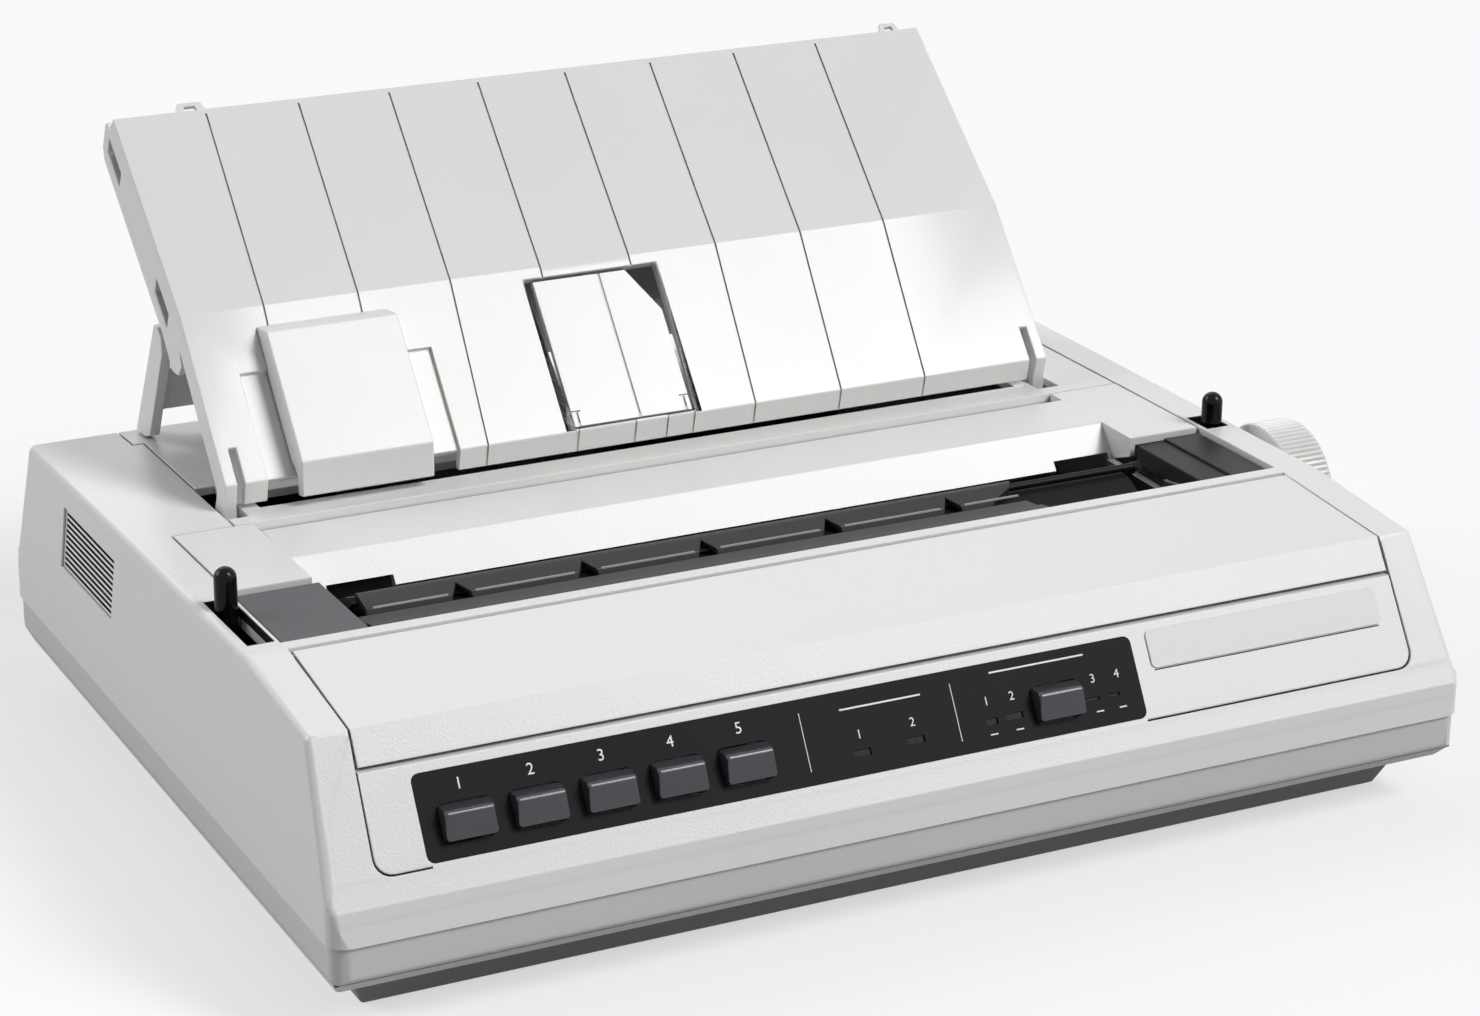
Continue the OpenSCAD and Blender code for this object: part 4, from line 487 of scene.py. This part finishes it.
def knob():
    """The platen knob: a ring of ribs with fine grooves between them, a rounded rim and a dished end."""
    bm = bmesh.new()
    rings = []
    for x, r, ribbed in KNOB_STEPS:
        ring = []
        for k in range(RIBS):
            for a, deep in RIB_SPOTS:
                t = 2 * math.pi * (k + a) / RIBS
                rr = r - GROOVE * deep * ribbed
                ring.append(bm.verts.new((KNOB[0] + x, KNOB[1] + rr * math.cos(t), KNOB[2] + rr * math.sin(t))))
        rings.append(ring)
    for a, b in zip(rings, rings[1:]):
        quads(bm, a, b)
    bm.faces.new(list(reversed(rings[0])))
    bm.faces.new(rings[-1])
    bmesh.ops.recalc_face_normals(bm, faces=bm.faces[:])
    to_piece(bm, "knob_ribbed", "case_shell", "platen", ("platen_knob",), KNOB_SMOOTH_DEGREES)


knob()

# ---------- marks on the panel ----------
TILT = math.atan2(RIDGE[0] - SKIRT[0], RIDGE[1] - SKIRT[1])
FACE_OUT = Vector((0, -math.cos(TILT), math.sin(TILT)))
FACE_UP = Vector((0, math.sin(TILT), math.cos(TILT)))
# How far marks lie out from the moulding, in mm: on the film, on the name plate, and on the moulding itself.
ON_FILM, ON_PLATE, ON_MOULDING = 0.13, 0.04, 0.012


def on_panel(x, z, out):
    """Point on the panel's face, in mm, at the height z and the distance out above the moulding."""
    return Vector((x, SKIRT[0] + (z - SKIRT[1]) * math.tan(TILT), z)) + FACE_OUT * out


def bar(name, w, h, x, z, mat="print_white", out=ON_FILM, shift=0):
    """A flat bar, w by h mm, round the panel's point x, z and moved up the face by shift."""
    bm = bmesh.new()
    corners = [(-w / 2, shift - h / 2), (w / 2, shift - h / 2), (w / 2, shift + h / 2), (-w / 2, shift + h / 2)]
    bm.faces.new([bm.verts.new(on_panel(x, z, out) + Vector((u, 0, 0)) + FACE_UP * v) for u, v in corners])
    to_piece(bm, name, mat, "base")


def digit(name, body, x, z, size):
    """One plain digit, printed on the film."""
    c = bpy.data.curves.new(name, "FONT")
    c.body = body
    c.size = size
    c.align_x = "CENTER"
    c.align_y = "CENTER"
    c.resolution_u = 4
    tmp = bpy.data.objects.new(name + "_curve", c)
    scene.collection.objects.link(tmp)
    bpy.context.view_layer.update()
    me = bpy.data.meshes.new_from_object(tmp.evaluated_get(bpy.context.evaluated_depsgraph_get()))
    bpy.data.objects.remove(tmp)
    bm = bmesh.new()
    bm.from_mesh(me)
    for v in bm.verts:
        v.co = on_panel(x, z, ON_FILM) + Vector((v.co.x, 0, 0)) + FACE_UP * v.co.y
    bpy.data.meshes.remove(me)
    to_piece(bm, name, "print_white", "base")


def digits(prefix, size, places):
    for i, (x, z) in enumerate(places):
        digit(f"{prefix}_digit_{i + 1}", str(i + 1), x, z, size)


digits("key", 4.6, [(-137.1 + 20.7 * i, 62.6) for i in range(5)])
for i, x in enumerate((-35.6, 12.15)):
    bar(f"divider_{i + 1}", 0.22, 16.6, x, 56.2)
bar("quality_bar", 25.6, 0.5, -10.4, 62.2)
digits("quality", 3.6, [(-18.8, 55.6), (-1.9, 56.0)])
bar("pitch_bar", 31, 0.5, 40.6, 64.1)
digits("pitch", 3.6, [(22.3, 57.4), (30.6, 57.5), (57.4, 57.8), (65.4, 57.9)])
for i, (x, z) in enumerate([(22.6, 49.2), (31.0, 49.2), (57.6, 49.6), (65.2, 49.6)]):
    bar(f"pitch_tick_{i + 1}", 2.4, 0.4, x, z)
# Closes the panel's lower seam under the film.
bar("panel_fill", 221, 1.5, -38.5, 44.8, "case_shell", ON_MOULDING, 0.2)
bar("plate_rule", 78, 0.35, 117.2, 56.95, "print_dark", ON_PLATE)

# ---------- camera ----------
CAMERA_ANGLES = (-26.784, 20.721, 0.489)        # azimuth, elevation and roll, in degrees
CAMERA_AT = (-0.4967, -1.0006, 0.4985)
FOCAL_PIXELS, PHOTO_PIXELS, SENSOR = 3918.43, 1480, 36
FARTHEST_SEEN = 50

az, el, roll = (math.radians(a) for a in CAMERA_ANGLES)
back = Vector((math.sin(az) * math.cos(el), -math.cos(az) * math.cos(el), math.sin(el)))
r0 = Vector((math.cos(az), math.sin(az), 0))
u0 = back.cross(r0)
right = math.cos(roll) * r0 + math.sin(roll) * u0
up = -math.sin(roll) * r0 + math.cos(roll) * u0
cam = bpy.data.objects.new("camera", bpy.data.cameras.new("camera"))
scene.collection.objects.link(cam)
cam.data.sensor_width = SENSOR
cam.data.lens = FOCAL_PIXELS / PHOTO_PIXELS * SENSOR
cam.data.clip_end = FARTHEST_SEEN
cam.matrix_world = Matrix((
    *[(right[k], up[k], back[k], CAMERA_AT[k]) for k in range(3)],
    (0, 0, 0, 1)))
scene.camera = cam

# ---------- floor, world and lamps ----------
FLOOR_HALF, FLOOR_DROP = 20, 0.0002
# The floor and the world look paler in the background than they light the object.
FLOOR_LIT, FLOOR_SEEN, FLOOR_GLOW = 0.3, 0.94, 0.6
WORLD_LIGHT, WORLD_SEEN = 0.12, 1.0


def background_rays(tree):
    """1 for camera, glossy and transmission rays, which show the floor and the world as a background."""
    lp = node(tree, "ShaderNodeLightPath")
    total = lp.outputs["Is Camera Ray"]
    for name in ("Is Glossy Ray", "Is Transmission Ray"):
        add = node(tree, "ShaderNodeMath", operation="ADD", use_clamp=True)
        tree.links.new(total, add.inputs[0])
        tree.links.new(lp.outputs[name], add.inputs[1])
        total = add.outputs[0]
    return total


floor = bpy.data.meshes.new("floor")
floor.from_pydata([(x * FLOOR_HALF, y * FLOOR_HALF, 0) for x, y in ((-1, -1), (1, -1), (1, 1), (-1, 1))],
                  [], [(0, 1, 2, 3)])
floor_o = bpy.data.objects.new("floor", floor)
floor_o.location.z = -FLOOR_DROP
scene.collection.objects.link(floor_o)
fm = bpy.data.materials.new("floor")
fm.use_nodes = True
t = fm.node_tree
dull = t.nodes["Principled BSDF"]
put(dull, Base_Color=(*[FLOOR_LIT] * 3, 1), Roughness=0.9)
pale = node(t, "ShaderNodeBsdfDiffuse")
put(pale, Color=(*[FLOOR_SEEN] * 3, 1))
glow = node(t, "ShaderNodeEmission")
soft = node(t, "ShaderNodeMixShader")
put(soft, Fac=FLOOR_GLOW)
seen = node(t, "ShaderNodeMixShader")
t.links.new(pale.outputs[0], soft.inputs[1])
t.links.new(glow.outputs[0], soft.inputs[2])
t.links.new(background_rays(t), seen.inputs["Fac"])
t.links.new(dull.outputs[0], seen.inputs[1])
t.links.new(soft.outputs[0], seen.inputs[2])
t.links.new(seen.outputs[0], t.nodes["Material Output"].inputs["Surface"])
floor.materials.append(fm)

world = bpy.data.worlds.new("world")
scene.world = world
world.use_nodes = True
t = world.node_tree
bg = t.nodes["Background"]
put(bg, Color=(1, 1, 1, 1))
mx = node(t, "ShaderNodeMix", data_type="FLOAT")
put(mx, A=WORLD_LIGHT, B=WORLD_SEEN)
t.links.new(background_rays(t), mx.inputs["Factor"])
t.links.new(mx.outputs["Result"], bg.inputs["Strength"])


def softbox(name, az, el, strength, angle):
    """A far, wide lamp in the direction az (from the front towards +X) and el."""
    az, el = math.radians(az), math.radians(el)
    d = bpy.data.lights.new(name, "SUN")
    d.energy = strength
    d.angle = angle
    o = bpy.data.objects.new(name, d)
    to = Vector((math.sin(az) * math.cos(el), -math.cos(az) * math.cos(el), math.sin(el)))
    o.rotation_euler = (-to).to_track_quat("-Z", "Y").to_euler()
    scene.collection.objects.link(o)


softbox("key", 41, 50, 1.42, 0.35)
softbox("low", 41, 36, 0.95, 0.4)
softbox("left", -125, 30, 1.3, 0.6)
softbox("rear", 170, 40, 0.4, 0.8)

scene.view_settings.view_transform = "Standard"
